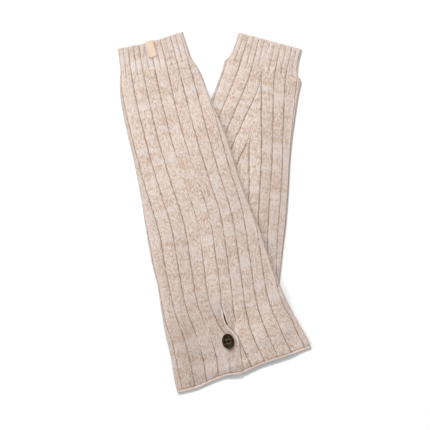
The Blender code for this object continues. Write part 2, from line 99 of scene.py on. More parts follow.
# A leg starts at the middle of its cuff's edge. Its headings are rows of millimetres down the
# leg and degrees from straight down the picture.
FRONT_START = (-77.25 * MM, 205.0 * MM)
FRONT_HEADINGS = ((0, 15.93), (420, 15.93))
FRONT_EDGES = table(
    "along left right",
    (0, -41.0, 40.3), (12, -42.9, 40.9), (24, -45.0, 41.6), (33, -48.2, 42.2),
    (44, -51.0, 45.8), (58, -54.2, 48.4), (74, -55.9, 49.4), (104, -57.8, 52.4),
    (130, -58.9, 56.4), (168, -62.4, 57.6), (196, -65.4, 58.4), (230, -69.2, 61.8),
    (260, -72.0, 64.6), (285, -72.8, 65.8), (314, -76.4, 68.2), (343, -79.8, 72.0),
    (372, -81.2, 77.6), (398, -84.8, 83.6), (412, -84.8, 85.2),
)
FRONT_RIBS = table(            # each side's first place and pitch, and the button's pull
    "along left_base left_pitch left_pull right_base right_pitch",
    (0, 11.5, 13.2, 0.0, 11.5, 12.8), (35, 10.5, 14.6, 0.0, 10.5, 13.2),
    (70, 8.3, 14.9, 0.0, 8.3, 14.3), (120, 6.8, 15.1, 0.0, 6.8, 14.4),
    (170, 8.3, 15.6, 0.0, 8.3, 13.7), (225, 10.0, 15.8, 0.0, 10.0, 13.4),
    (275, 3.6, 15.5, 0.0, 3.6, 13.6), (320, -3.4, 14.4, 0.0, -3.2, 13.8),
    (337, -1.5, 14.7, 0.0, -7.4, 14.6), (352, 0.6, 14.9, 0.2, -9.9, 15.4),
    (364, 2.6, 15.4, 2.6, -13.0, 16.7), (384, 4.2, 16.1, 0.6, -11.2, 16.8),
    (402, 0.2, 15.6, -0.6, -8.3, 16.9), (412, 0.0, 15.8, 0.0, -7.6, 17.0),
)
FRONT_RIBS_EACH_WAY = 6
FRONT_HEM = table(             # how much further down the hem lies
    "across drop",
    (-84, 5.8), (-60, 6.3), (-47, 4.5), (-33, 2.7), (-19, 2.3), (-6, 4.4),
    (3, 3.3), (10, 2.4), (20, 0.8), (40, 0.0), (62, -1.3), (84, -3.2),
)
HEM_REACH = 50 * MM            # how far above the hem that starts
HEM_PRESS = 0.6                # how much closer the layers lie at the hem
HEM_PRESS_ABOVE = (38 * MM, 8 * MM)
FRONT_CUFF = table(            # the cuff's edge rises a little towards its corners
    "across rise",
    (-43, 2.7), (-37, 2.2), (-29, 1.6), (-21, 0.8), (-13, 0.0), (22, 0.0), (34, 0.6), (42, 0.9),
)

VENT_TOP = 335.5 * MM
VENT = table(
    "along flap_edge under_edge",
    (335.5, -5.3, -5.3), (340.5, -6.0, -5.0), (346, -6.2, -5.1), (352, -5.3, -4.6),
    (358, -3.0, -6.0), (364, 0.6, -8.0), (371, 3.2, -9.5), (380, 2.3, -10.8),
    (394, -0.2, -12.0), (412, -2.8, -13.0),
)
VENT_RAISED_BY = 350 * MM      # the flap lies fully on the other edge from here
VENT_FADE = 20 * MM            # above the vent, where the ribs make way for it
VENT_PRESS_WIDTH = 26 * MM     # beside it, where the layers lie closer
VENT_PRESS = 0.8
FLAP_RAMP = 12 * MM            # the flap rises between here and its crest, inside the other edge
FLAP_CREST = 2 * MM
FLAP_LIFT = UPPER_WALL + 1.3 * SEAT_GAP
SWELL = 2.1 * MM               # the cloth beside the flap's edge, which hides its step
SWELL_RAMP = 2.2 * MM
SWELL_REACH = 11 * MM
SWELL_ALONG = (356 * MM, 366 * MM)
SLIT = (347 * MM, -5.1 * MM)   # the gap between the vent's edges above the button
SLIT_REACH = (10 * MM, 4 * MM)
SLIT_LIP = 0.6 * MM            # how far its dark goes over the cut edges
VENT_HIGHLIGHT_BAND = (0.5 * MM, 0.9 * MM)     # the painted highlight beside the cut: its middle and reach
VENT_HIGHLIGHT_FADE = (370 * MM, 388 * MM)

LABEL_LEFT = -7.0 * MM         # the tab's edges across the front leg
LABEL_RIGHT = 3.0 * MM
LABEL_LENGTH = 20.2 * MM       # down the cuff's outside
LABEL_TUCK = 6 * MM            # down its inside
LABEL_TURN_AT = 0.8 * MM       # where the tape leaves the cloth on its way round the edge
LABEL_TURN_REACH = 1.9 * MM
LABEL_OVER = 0.4 * MM          # clear of the ribs outside
LABEL_UNDER = 0.35 * MM        # and of the wall inside
LABEL_SETTLE = 0.1 * MM        # the sewn end lies this much lower
LABEL_SETTLE_ALONG = (14 * MM, 20 * MM)
LABEL_ROWS = (24, 15, 8)       # the tape's rows outside, round the turn and inside
LABEL_COLUMNS = 10

# The button: shares of its radii and heights in millimetres. The cage stands out further than
# the button does, because subdivision draws it in.
BUTTON_PROFILE = (             # from the dish outwards, and round to the underside
    (0.66, 2.8), (0.80, 3.1), (0.95, 2.4), (1.0, 1.3), (0.93, 0.5), (0.74, 0.0), (0.56, 0.0))
BUTTON_DISH = 2.0
BUTTON_DISH_RADIUS = 0.56
BUTTON_TURN = 13               # degrees
CAGE = 1.09
HOLE_AT = 0.25
HOLE_INSET = 0.125
THREAD_START = 0.4 * MM        # above the button's underside
THREAD_OVER_DISH = 0.3 * MM
TACK_STITCHES = 3
TACK_START = 0.2 * MM          # below the button
TACK_STEP = 0.6 * MM
TACK_HALF_WIDTH = 0.8 * MM
TACK_DEPTH = 1.55 * MM         # below the button's underside, on the cloth
TACK_THREAD = 0.55 * MM
TACK_RISE = 0.7 * MM

BACK_START = (66.15 * MM, 205.6 * MM)
BACK_HEADINGS = (
    (0, -15.1), (72, -15.5), (144, -12.0), (216, -6.0), (278, 0.0), (336, 8.0), (402, 15.0))
BACK_EDGES = table(
    "along left right",
    (0, -39.4, 39.9), (16, -40.0, 40.2), (27, -41.4, 42.0), (31.5, -42.6, 43.4),
    (36, -45.6, 48.4), (48, -46.2, 49.8), (66, -47.5, 51.6), (84, -49.3, 53.8),
    (110, -52.0, 56.9), (135, -55.0, 60.3), (174, -58.0, 65.2), (214, -59.0, 67.4),
    (255, -59.0, 66.0), (300, -57.0, 61.6), (350, -55.0, 57.0), (391, -55.0, 55.0),
)
BACK_GROOVES = table(
    "along rib_a rib_b rib_c fan_left fan_a fan_b fan_right rib_f rib_g rib_h",
    (0, -39.5, -26.0, -13.4, 0.4, 0.4, 0.4, 0.4, 13.8, 27.4, 41.0),
    (42, -44.0, -27.6, -12.4, 0.9, 0.9, 0.9, 0.9, 16.6, 30.4, 44.4),
    (60, -44.2, -29.2, -13.8, 1.6, 3.1, 4.1, 5.8, 20.5, 34.5, 47.6),
    (90, -47.7, -33.2, -18.0, -3.5, 2.9, 7.0, 13.7, 28.2, 41.1, 54.0),
    (120, -52.0, -37.5, -22.8, -9.2, 5.4, 6.9, 21.6, 34.7, 47.6, 60.6),
    (150, -56.0, -41.5, -27.5, -14.3, -1.0, 12.3, 27.2, 40.2, 53.0, 65.6),
    (190, -59.5, -45.5, -32.4, -20.0, -5.6, 18.8, 31.8, 44.1, 57.0, 69.6),
    (240, -63.0, -49.6, -36.8, -24.0, -4.6, 16.5, 34.3, 46.6, 58.4, 70.4),
    (300, -66.0, -52.0, -38.0, -24.0, -4.6, 14.8, 34.0, 46.0, 57.6, 69.4),
    (391, -66.0, -52.0, -38.0, -24.0, -6.0, 12.0, 30.0, 42.0, 54.0, 66.0),
)
GUSSET = (1, 4)                # the fan's bands, from and to, whose wales keep their own width
FAN_GROOVES_ALONG = (112 * MM, 126 * MM)
LADDER_STARTS = (40 * MM, 46 * MM)     # the holes that run beside the fan's start
LADDER_ENDS = (80 * MM, 92 * MM)
LADDER_GROOVE = 0.3            # how much stronger than a groove they are
BACK_CREASES_END = (200 * MM, 250 * MM)
END_PRESS = 0.46               # how much flatter the hidden end lies under the front leg
END_PRESS_ALONG = (364 * MM, 390 * MM)

# Soft troughs and ridges: where their middle lies, how long and wide they are, which way they
# run from the leg's own direction towards its right, and how high they stand.
CREASES = "along across length width turn height"
FRONT_CREASES = (
    (352, -24, 46, 12, -28, 0.9),
    (384, -27, 40, 13, 20, -0.7),
    (392, 8, 34, 10, 14, 0.8),
    (362, 20, 40, 12, -34, -0.8),
    (330, 14, 60, 16, -8, 0.6),
    (300, -50, 80, 26, 4, 0.8),
    (240, -30, 90, 30, -5, -0.6),
    (210, 34, 100, 26, 6, 0.7),
    (120, -30, 80, 24, 3, 0.7),
    (90, 22, 90, 24, -4, -0.6),
    (380, -68, 34, 14, 12, -1.1),
    (372, 58, 60, 18, -24, 0.7),
)
BACK_CREASES = (
    (70, -24, 60, 20, -10, 0.7),
    (88, 30, 70, 20, 6, -0.6),
    (130, 0, 60, 24, 12, 0.7),
    (160, 42, 70, 22, 0, 0.7),
    (215, 30, 70, 22, -14, -0.5),
)
CREASE_MARGIN = 9 * MM         # creases die out this near a fold

# Where a groove closes up and hardly shows: its middle, its reach each way, and how much.
FADES = "along across length width share"
FRONT_FADES = (
    (168, -9, 30, 5, 0.85),
    (168, 9, 22, 5, 0.8),
    (238, -6, 28, 5, 0.7),
    (222, 10.5, 18, 4, 0.5),
    (364, -44, 8, 4, 0.8),
    (352, -29, 14, 4, 0.85),
    (362, 4, 14, 4.5, 0.9),
    (388, -12, 20, 4, 0.55),
    (100, 24, 14, 4, 0.4),
)
BACK_FADES = (
    (150, -14, 12, 4, 0.4),
    (70, 30, 10, 4, 0.4),
)

# Painted shade: where the cloth is painted darker and browner, in the same columns.
FRONT_PAINTED_SHADE = (
    (352, -58, 34, 26, 0.28),
    (392, -66, 22, 22, 0.24),
    (270, -40, 60, 26, 0.12),
    (200, -20, 50, 30, 0.06),
    (350, -14, 34, 18, 0.18),
)

# Below the cuff each body rib swells a little before it lies flat.
PUFF_FROM = 34 * MM
PUFF_REACH = 9 * MM
PUFF_HEIGHT = 0.9 * MM

# ---------------------------------------------------------------- knitting
WALES_PER_RIB = 7              # six that show, and one that sinks into the groove
WALE_WIDTH = 2.25 * MM
COURSE_HEIGHT = 2.05 * MM
GUSSET_WALES = 1000.5          # the number of the gusset's middle wale, far from all the others
FLANK = 0.62 * MM              # a groove's steep side
FLANK_SHARE = 0.12             # or this share of a narrow rib, if that is less
SHOULDER = 1.3 * MM            # where the first wale beside a groove starts
SHOULDER_SHARE = 0.25
STEEP_PART = 0.5               # a groove is a steep cut, in a soft dip that is narrower in the cuff
STEEP_REACH = 2.2 * FLANK
SOFT_PART = 0.4
SOFT_WIDTH = 3.0 * MM
CUFF_NARROWER = 0.9 * MM
CUFF_GROOVE = 0.95             # the depth of the cuff's extra grooves
REGULAR_WALES = (1.0 * MM, 1.6 * MM)   # wales closer than this don't stand out
WALE_FLATTER = 0.6             # how much of a wale's height a groove takes
ROW_STEP = 1.72 * MM
INNER_ROW_STEP = 10.5 * MM
EDGE_ROWS = (0, 0.3, 0.7, 1.3, 2.2, 2.8, 3.4, 4.2)     # mm from the cuff's or hem's edge
EDGE_ROUND = 1.0 * MM
BEAD = (1.0 * MM, 1.2 * MM)    # the rolled edge: its middle and reach
BEAD_FILLS = 0.85              # how much of a groove it fills
HEM_LINE = (3.1 * MM, 0.6 * MM)    # the cast-off edge's stitched line: its middle and reach
HEM_LINE_DEPTH = 0.4 * MM
UNDER_RIBS = 10
UNDER_RIBS_BACK = 8
SAME_PLACE = 0.004 * MM        # points this close become one

# What the material reads: how much painted shade the grooves get, and how much painted highlight
# the edges get.
FLANK_TONE = 0.6               # a groove's flanks
CUFF_LINE_TONE = 0.75          # the cuff's extra grooves
CUFF_LINE_SOFTENS = 0.35       # how much paler they leave the others
EYELETS = (CUFF_DEPTH + 1.5 * MM, 1.2 * MM)    # where the cuff's grooves end: middle and reach
EYELET_TONES = np.array((0.4, 0.9, 0.4))
BEAD_HIDES = 0.9               # how much of a groove's dark the rolled edge takes
HEM_LINE_TONE = 0.7
INSIDE_TONE = 0.4              # how much of it is left inside the tube
SLIT_TONE = 2.0
# Painted highlights: the rolled edges, the folds and the vent's cut edges are painted paler.
HEM_HIGHLIGHT_TONE = 1.0
CUFF_HIGHLIGHT_TONE = 0.15
FOLD_HIGHLIGHT_TONE = 0.35
FOLD_HIGHLIGHT_REACH = 4.5 * MM
VENT_HIGHLIGHT_TONES = (1.5, 0.2)   # down to the button, and below it


def smooth_step(value, low, high):
    """0 below low, 1 above high, and a soft S between them."""
    share = np.clip((value - low) / (high - low), 0.0, 1.0)
    return share * share * (3 - 2 * share)


def hill(value, middle, reach):
    """1 at the middle, and less on both sides of it, softly."""
    return np.exp(-((value - middle) / reach) ** 2)


def in_cuff(along):
    """1 in the cuff, 0 in the body, and soft between them."""
    return 1 - smooth_step(along, CUFF_DEPTH - CUFF_FADE, CUFF_DEPTH + CUFF_FADE)


def rounded(distance):
    """The share of its thickness that the wall has at a distance from a cut edge."""
    share = np.clip(distance / EDGE_ROUND, 0, 1)
    return np.sqrt(1 - (1 - share) ** 2)


def patches(columns, rows):
    """Soft patches on a leg, each with its columns by name."""
    return [dict(zip(columns.split(), row)) for row in rows]


def from_middle(patch, along, across, reach=1.0):
    """How far places lie from a patch's middle, lengthwise and widthwise, where 1 is its reach."""
    turn = radians(patch.get("turn", 0))
    down = along - patch["along"] * MM
    aside = across - patch["across"] * MM
    lengthwise = (down * cos(turn) + aside * sin(turn)) / (patch["length"] * MM * reach)
    widthwise = (aside * cos(turn) - down * sin(turn)) / (patch["width"] * MM * reach)
    return lengthwise, widthwise


def rib_columns(width, shown):
    """A rib's columns as shares of its width, and each one's place in its wales."""
    flank = min(FLANK / max(width, 1e-6), FLANK_SHARE)
    shoulder = min(SHOULDER / max(width, 1e-6), SHOULDER_SHARE)
    steps = 2 * (WALES_PER_RIB - 1) if shown else 2
    inner = np.arange(1, steps) / steps
    share = np.concatenate((
        [0, flank, shoulder], shoulder + (1 - 2 * shoulder) * inner, [1 - shoulder, 1 - flank]))
    wale = np.concatenate((
        [0, 0.25, 0.5], 0.5 + (WALES_PER_RIB - 1) * inner,
        [WALES_PER_RIB - 0.5, WALES_PER_RIB - 0.25]))
    return share, wale


def read(rows, name, place, key="along"):
    """The named column of a table at one or more places, on a soft curve through its rows."""
    keys = rows[key]
    values = rows[name]
    place = np.clip(place, keys[0], keys[-1])
    after = np.clip(np.searchsorted(keys, place), 1, len(keys) - 1)
    before = after - 1
    span = keys[after] - keys[before]
    slopes = np.diff(values) / np.diff(keys)
    slope_in = (slopes[np.maximum(before - 1, 0)] + slopes[before]) / 2
    slope_out = (slopes[before] + slopes[np.minimum(before + 1, len(slopes) - 1)]) / 2
    t = (place - keys[before]) / span
    return (values[before] * (1 + 2 * t) * (1 - t) ** 2
            + slope_in * span * t * (1 - t) ** 2
            + values[after] * t * t * (3 - 2 * t)
            + slope_out * span * t * t * (t - 1))


class CentreLine:
    """A leg's centre line on the surface, from its start and its headings down the leg."""

    STEP = 1 * MM
    SPARE = 30 * MM

    def __init__(self, start, headings):
        reach = headings[-1][0] * MM
        self.along = np.arange(-self.SPARE, reach + self.SPARE, self.STEP)
        places = [row[0] * MM for row in headings]
        turns = [radians(row[1]) for row in headings]
        self.heading = np.interp(self.along, places, turns)
        east = np.cumsum(np.sin(self.heading)) * self.STEP
        south = np.cumsum(np.cos(self.heading)) * self.STEP
        self.x = start[0] + east - np.interp(0, self.along, east)
        self.y = start[1] - south + np.interp(0, self.along, south)

    def place(self, along, across):
        """Points on the surface at distances down the leg and across it."""
        heading = np.interp(along, self.along, self.heading)
        x = np.interp(along, self.along, self.x) + across * np.cos(heading)
        y = np.interp(along, self.along, self.y) + across * np.sin(heading)
        return x, y

    def locate(self, x, y):
        """The distances down the leg and across it of points on the surface."""
        off_x = x[:, None] - self.x
        off_y = y[:, None] - self.y
        ahead = off_x * np.sin(self.heading) - off_y * np.cos(self.heading)
        nearest = np.argmin(np.abs(ahead), axis=1)
        rows = np.arange(len(x))
        heading = self.heading[nearest]
        across = off_x[rows, nearest] * np.cos(heading) + off_y[rows, nearest] * np.sin(heading)
        return self.along[nearest] + ahead[rows, nearest], across


class Leg:
    """What the two leg warmers share: the flattened tube, its folds, ribs and creases."""

    vent_top = None
    under_ribs = UNDER_RIBS
    gusset = (0, 0)                # no bands

    def __init__(self, start, headings, edges, length, settings, creases, fades, painted_shade=()):
        self.line = CentreLine(start, headings)
        self.edges = edges
        self.length = length
        self.settings = settings
        self.creases = patches(CREASES, creases)
        self.fades = patches(FADES, fades)
        self.painted_shade = patches(FADES, painted_shade)

    def parted(self, along):
        """Whether the vent parts the tube here."""
        return self.vent_top is not None and along >= self.vent_top

    def near_hem(self, along, start, end):
        """0 further above the hem than start, 1 nearer than end, and soft between them."""
        return smooth_step(along, self.length - start, self.length - end)

    # The parts that differ between the legs
    def grooves(self, along):
        """Groove places to the right of the seam line and to its left, with their depths."""
        raise NotImplementedError

    def seam(self, along):
        """Where the tube starts and ends across the top: the right edge and the left one."""
        raise NotImplementedError

    def layer_gap(self, along, across, pillow):
        """The space between the two layers. pillow is 0 at the folds and 1 in the middle."""
        return FOLD_GAP + CROWN_GAP * pillow

    def lift(self, along, across, is_left):
        """How much the vent raises the upper layer, on its left part and on its right one."""
        return np.zeros_like(across)

    def bed(self, x, y, upper):
        """How high whatever lies beneath lifts the cloth. upper is 1 well inside the top."""
        return np.zeros_like(x)

    def hem_drop(self, along, across):
        """How far the cloth lies further down the leg than its rows say."""
        return np.zeros_like(across)

    # The tube's section
    def section(self, along):
        """Where the top is flat across, and the ways at which the other stretches start."""
        flat_left = read(self.edges, "left", along) + FOLD_RADIUS
        flat_right = read(self.edges, "right", along) - FOLD_RADIUS
        fold = pi * FOLD_RADIUS
        under_right = flat_right + fold
        under_left = under_right + flat_right - flat_left
        return flat_left, flat_right, under_right, under_left, under_left + fold

    def pressed(self, along):
        """The share of its own height that the leg keeps under what lies on it."""
        return 1.0

    def crown(self, along, across):
        """The height of the ribs' tops above what the leg lies on, without a flap's lift."""
        flat_left, flat_right, *_ = self.section(along)
        middle = (flat_left + flat_right) / 2
        half = (flat_right - flat_left) / 2
        pillow = np.maximum(1 - ((across - middle) / half) ** 2, 0.0)
        return UNDER_WALL + self.layer_gap(along, across, pillow) + UPPER_WALL

    def from_fold(self, along, across):
        """How far inside the nearer fold a place lies."""
        flat_left, flat_right, *_ = self.section(along)
        return np.minimum(flat_right - across, across - flat_left)

    def relief(self, along, across):
        """The creases' height on the upper layer."""
        height = np.zeros_like(across)
        for crease in self.creases:
            down, aside = from_middle(crease, along, across, 0.5)
            height += crease["height"] * MM * np.exp(-down ** 2 - aside ** 2)
        return height * smooth_step(self.from_fold(along, across), 0, CREASE_MARGIN)

    def kept(self, along, across):
        """How much of a groove shows at each place across, where some of them close up."""
        share = np.ones_like(across)
        for fade in self.fades:
            down, aside = from_middle(fade, along, across)
            share *= 1 - fade["share"] * np.exp(-down ** 4 - aside ** 2)
        return share

    def painted_shade_share(self, along, across):
        """How much painted shade, darker and browner, the table's patches lay on the cloth."""
        share = np.zeros_like(across)
        for patch in self.painted_shade:
            down, aside = from_middle(patch, along, across)
            share += patch["share"] * np.exp(-down ** 2 - aside ** 2)
        return share

    def ring_ways(self, along):
        """The grooves' ways round the tube, their depths, and each side's number of ribs."""
        flat_left, flat_right, _, _, left_start = self.section(along)
        right_seam, left_seam = self.seam(along)
        (right, right_depth), (left, left_depth) = self.grooves(along)
        right_depth = right_depth * self.kept(along, right)
        left_depth = left_depth * self.kept(along, left)
        right = np.concatenate(([right_seam], right))
        left = np.concatenate(([left_seam], left))
        past = right - flat_right
        right_way = np.where(past <= 0, right, flat_right + past * FOLD_SQUEEZE)
        past = flat_left - left
        left_way = left_start - past * np.where(past > 0, FOLD_SQUEEZE, 1.0)
        under = np.linspace(right_way[-1], left_way[-1], self.under_ribs + 1)[1:-1]
        seam_depth = 0.0 if self.parted(along) else float(self.kept(along, np.array(right_seam)))
        ways = np.concatenate((right_way, under, left_way[::-1]))
        depths = np.concatenate((
            [seam_depth], right_depth, np.ones(len(under)), left_depth[::-1], [seam_depth]))
        return ways, depths, len(right) - 1, len(left) - 1

    def columns(self, along):
        """The ring's columns: way, wale coordinate, rib number and the strength of the grooves'
        painted shade.
        """
        ways, depths, right_count, left_count = self.ring_ways(along)
        bands = len(ways) - 1
        cuff_line = CUFF_LINE_TONE * in_cuff(along)
        columns = []
        for band in range(bands):
            shown = band < right_count or band >= bands - left_count
            share, wale = rib_columns(ways[band + 1] - ways[band], shown)
            groove = np.zeros(len(share))
            groove[:2] = depths[band], FLANK_TONE * depths[band]
            groove[-1] = FLANK_TONE * depths[band + 1]
            if shown:
                half = int(np.argmin(np.abs(share - 0.5)))
                groove *= 1 - CUFF_LINE_SOFTENS * cuff_line
                groove[half] += cuff_line
                groove[half - 1:half + 2] += EYELET_TONES * hill(along, *EYELETS)
            if band == bands - 1 or band + 1 in self.gusset:
                share = np.append(share, 1.0)
                wale = np.append(wale, WALES_PER_RIB)
                groove = np.append(groove, depths[band + 1])
            way = ways[band] + (ways[band + 1] - ways[band]) * share
            if self.gusset[0] <= band < self.gusset[1]:
                centre = (ways[self.gusset[0]] + ways[self.gusset[1]]) / 2
                wale = GUSSET_WALES + (way - centre) / WALE_WIDTH
            else:
                wale = band * WALES_PER_RIB + wale
            columns.append((way, wale, np.full(len(way), band), groove))
        return *(np.concatenate(parts) for parts in zip(*columns)), ways, depths

    def sunk(self, along, way, wale, ways, depths):
        """How far the outside lies below the ribs' tops: grooves, cuff ribs and wales."""
        middles = (ways[1:] + ways[:-1]) / 2
        lines = np.concatenate((ways, middles))
        depths = np.concatenate((depths, np.full(len(middles), CUFF_GROOVE * in_cuff(along))))
        away = np.abs(way[:, None] - lines)
        steep = STEEP_PART * np.clip(1 - away / STEEP_REACH, 0, 1)
        soft_width = SOFT_WIDTH - CUFF_NARROWER * in_cuff(along)
        soft = SOFT_PART * np.exp(-2 * (away / soft_width) ** 2)
        deepest = np.max(depths * (steep + soft), axis=1)
        ridge = 0.5 + 0.5 * np.cos(2 * pi * wale)
        pitch = np.gradient(way) / np.maximum(np.gradient(wale), 1e-6)
        regular = smooth_step(pitch, *REGULAR_WALES) * (wale < GUSSET_WALES / 2)
        return (self.settings.rib_depth * deepest
                + self.settings.wale_depth * ridge * regular * (1 - WALE_FLATTER * deepest))

    def ring(self, along, inside):
        """One ring of points (x, y, z), with each one's wale, rib number, groove shade and edge
        tone: painted highlight above 0, painted shade below it.
        """
        way, wale, rib, groove, ways, depths = self.columns(along)
        flat_left, flat_right, under_right, under_left, left_start = self.section(along)
        right_arc = (way - flat_right) / FOLD_RADIUS
        left_arc = (left_start - way) / FOLD_RADIUS
        places = [way <= flat_right, way < under_right, way <= under_left, way < left_start]
        is_left = way >= left_start
        top_across = np.where(way <= flat_right, way, flat_left + way - left_start)
        under_across = flat_right - (way - under_right)
        from_edge = min(along, self.length - along)
        bead = hill(from_edge, *BEAD)
        hem_line = hill(self.length - along, *HEM_LINE)

        def skin(radius, middle, top, under):
            """Across and up, all round one side of the wall: top, right fold, under, left fold."""
            across = np.select(
                places,
                [top_across, flat_right + radius * np.sin(right_arc),
                 under_across, flat_left - radius * np.sin(left_arc)],
                top_across)
            up = np.select(
                places,
                [top, middle + radius * np.cos(right_arc),
                 under, middle + radius * np.cos(left_arc)],
                top)
            return across, up

        sunk = self.sunk(along, way, wale, ways, depths)
        sunk = sunk * (1 - BEAD_FILLS * bead) + HEM_LINE_DEPTH * hem_line
        lift = self.lift(along, top_across, is_left) + self.relief(along, top_across)
        top = self.crown(along, top_across) + lift
        puff = PUFF_HEIGHT * hill(along, PUFF_FROM + PUFF_REACH / 2, PUFF_REACH / 2)
        trough = np.maximum(-self.relief(along, under_across), 0.0)
        outer = skin(FOLD_RADIUS - sunk, FOLD_RADIUS, top + puff - sunk,
                     np.minimum(sunk + trough, UNDER_WALL - THINNEST))
        inner = skin(FOLD_GAP / 2, UNDER_WALL + FOLD_GAP / 2,
                     np.maximum(top - UPPER_WALL, UNDER_WALL + LEAST_GAP), UNDER_WALL)

        # The wall's two sides meet in a rounded edge at the cuff, the hem and the vent.
        keep = np.full(len(way), rounded(from_edge))
        from_fold = np.minimum(np.abs(way - flat_right), np.abs(way - left_start))
        # Edge tones: painted highlight on the rolled edges, near the folds and beside the vent's
        # cut.
        edge = np.maximum(
            bead * (HEM_HIGHLIGHT_TONE if along > self.length / 2 else CUFF_HIGHLIGHT_TONE),
            FOLD_HIGHLIGHT_TONE * hill(from_fold, 0, FOLD_HIGHLIGHT_REACH))
        if self.parted(along):
            from_slit = np.minimum(way - way[0], way[-1] - way)
            keep = np.minimum(keep, rounded(from_slit))
            beside, below = VENT_HIGHLIGHT_TONES
            tone = beside + (below - beside) * smooth_step(along, *VENT_HIGHLIGHT_FADE)
            edge = np.maximum(edge, tone * hill(from_slit, *VENT_HIGHLIGHT_BAND))
        # The painted shade patches go in as negative edge tones.
        edge = edge - self.painted_shade_share(along, top_across) * (places[0] | is_left)
        near, far = (inner, outer) if inside else (outer, inner)
        across = (near[0] + far[0]) / 2 + (near[0] - far[0]) / 2 * keep
        up = (near[1] + far[1]) / 2 + (near[1] - far[1]) / 2 * keep

        groove = groove * (1 - BEAD_HIDES * bead) + HEM_LINE_TONE * hem_line * (1 - groove)
        if inside:
            groove = groove * INSIDE_TONE
        # Painted shadow in the vent's slit and on the inside behind it.
        if self.parted(along):
            down = (along - SLIT[0]) / SLIT_REACH[0]
            aside = (across - SLIT[1]) / SLIT_REACH[1]
            in_slit = np.exp(-down ** 4 - aside ** 4) * (inside | (from_slit < SLIT_LIP))
            groove = np.maximum(groove, SLIT_TONE * in_slit)
            edge = edge * (1 - in_slit)

        x, y = self.line.place(along + self.hem_drop(along, across), across)
        upper = smooth_step(self.from_fold(along, top_across), 0, BRIDGE_FROM_FOLD)
        upper = upper * (places[0] | is_left) * (1 - self.near_hem(along, *BRIDGE_ABOVE_HEM))
        points = np.stack((x, y, up * self.pressed(along) + self.bed(x, y, upper)), axis=1)
        return points, wale, rib, groove, edge

    def rows(self):
        """Where the outer rows lie down the leg, and the inner ones back up it."""
        near = np.array(EDGE_ROWS) * MM
        stops = [near[-1], self.length - near[-1]]
        if self.vent_top is not None:
            stops.insert(1, self.vent_top)
        outer = [near[:-1]]
        inner = [near[:-1]]
        for start, end in zip(stops, stops[1:]):
            count = round((end - start) / ROW_STEP)
            outer.append(np.linspace(start, end, count + 1)[:-1])
            if self.parted(start):
                inner.append(outer[-1])
            else:
                count = round((end - start) / INNER_ROW_STEP)
                inner.append(np.linspace(start, end, count + 1)[:-1])
        hem = self.length - near[::-1]
        outer.append(hem)
        inner.append(hem)
        return np.concatenate(outer), np.concatenate(inner)[::-1][1:]


class FrontLeg(Leg):
    """The leg warmer on top: it lies over the other one, and its hem has a buttoned vent."""

    vent_top = VENT_TOP

    def __init__(self, beneath, settings):
        super().__init__(
            FRONT_START, FRONT_HEADINGS, FRONT_EDGES, FRONT_LENGTH, settings, FRONT_CREASES,
            FRONT_FADES, FRONT_PAINTED_SHADE)
        self.beneath = beneath

    def grooves(self, along):
        numbers = np.arange(1, FRONT_RIBS_EACH_WAY + 1)
        depths = np.ones(FRONT_RIBS_EACH_WAY)
        right = (read(FRONT_RIBS, "right_base", along)
                 + numbers * read(FRONT_RIBS, "right_pitch", along))
        left = (read(FRONT_RIBS, "left_base", along)
                - numbers * read(FRONT_RIBS, "left_pitch", along))
        left[0] += read(FRONT_RIBS, "left_pull", along)
        return (right, depths), (left, depths)

    def seam(self, along):
        if along <= VENT_TOP:
            down = smooth_step(along, VENT_TOP - VENT_FADE, VENT_TOP)
            base = read(FRONT_RIBS, "right_base", along)
            place = base + (VENT["flap_edge"][0] - base) * down
            return place, place
        return read(VENT, "under_edge", along), read(VENT, "flap_edge", along)

    def layer_gap(self, along, across, pillow):
        near = 1 - smooth_step(np.abs(across - VENT["flap_edge"][0]), 0, VENT_PRESS_WIDTH)
        pressed = near * smooth_step(along, VENT_TOP - VENT_FADE, VENT_RAISED_BY)
        flat = 1 - HEM_PRESS * self.near_hem(along, *HEM_PRESS_ABOVE)
        return super().layer_gap(along, across, pillow) * flat * (1 - VENT_PRESS * pressed)

    def lift(self, along, across, is_left):
        if along <= VENT_TOP:
            return np.zeros_like(across)
        under_edge = read(VENT, "under_edge", along)
        down = smooth_step(along, VENT_TOP, VENT_RAISED_BY)
        over = smooth_step(across, under_edge - FLAP_RAMP, under_edge - FLAP_CREST)
        beside = across - read(VENT, "flap_edge", along)
        swell = smooth_step(beside, 0, SWELL_RAMP) * hill(np.maximum(beside, 0), 0, SWELL_REACH)
        swell = swell * smooth_step(along, *SWELL_ALONG)
        return np.where(is_left, FLAP_LIFT * down * over, SWELL * swell)

    def bed(self, x, y, upper):
        along, across = self.beneath.line.locate(x, y)
        left = read(self.beneath.edges, "left", along)
        right = read(self.beneath.edges, "right", along)
        outside = np.max(
            (across - right, left - across, -along, along - self.beneath.length), axis=0)
        top = self.beneath.crown(along, across) * self.beneath.pressed(along) + SEAT_GAP
        close = top * (1 - smooth_step(outside, DRAPE_SHELF, DRAPE_SHELF + DRAPE_WIDTH))
        bridged = top * (1 - smooth_step(outside, *BRIDGE))
        return close + upper * np.maximum(bridged - close, 0.0)

    def hem_drop(self, along, across):
        near_cuff = 1 - smooth_step(along, 0, CUFF_DEPTH)
        return (read(FRONT_HEM, "drop", across, key="across") * self.near_hem(along, HEM_REACH, 0)
                - read(FRONT_CUFF, "rise", across, key="across") * near_cuff)


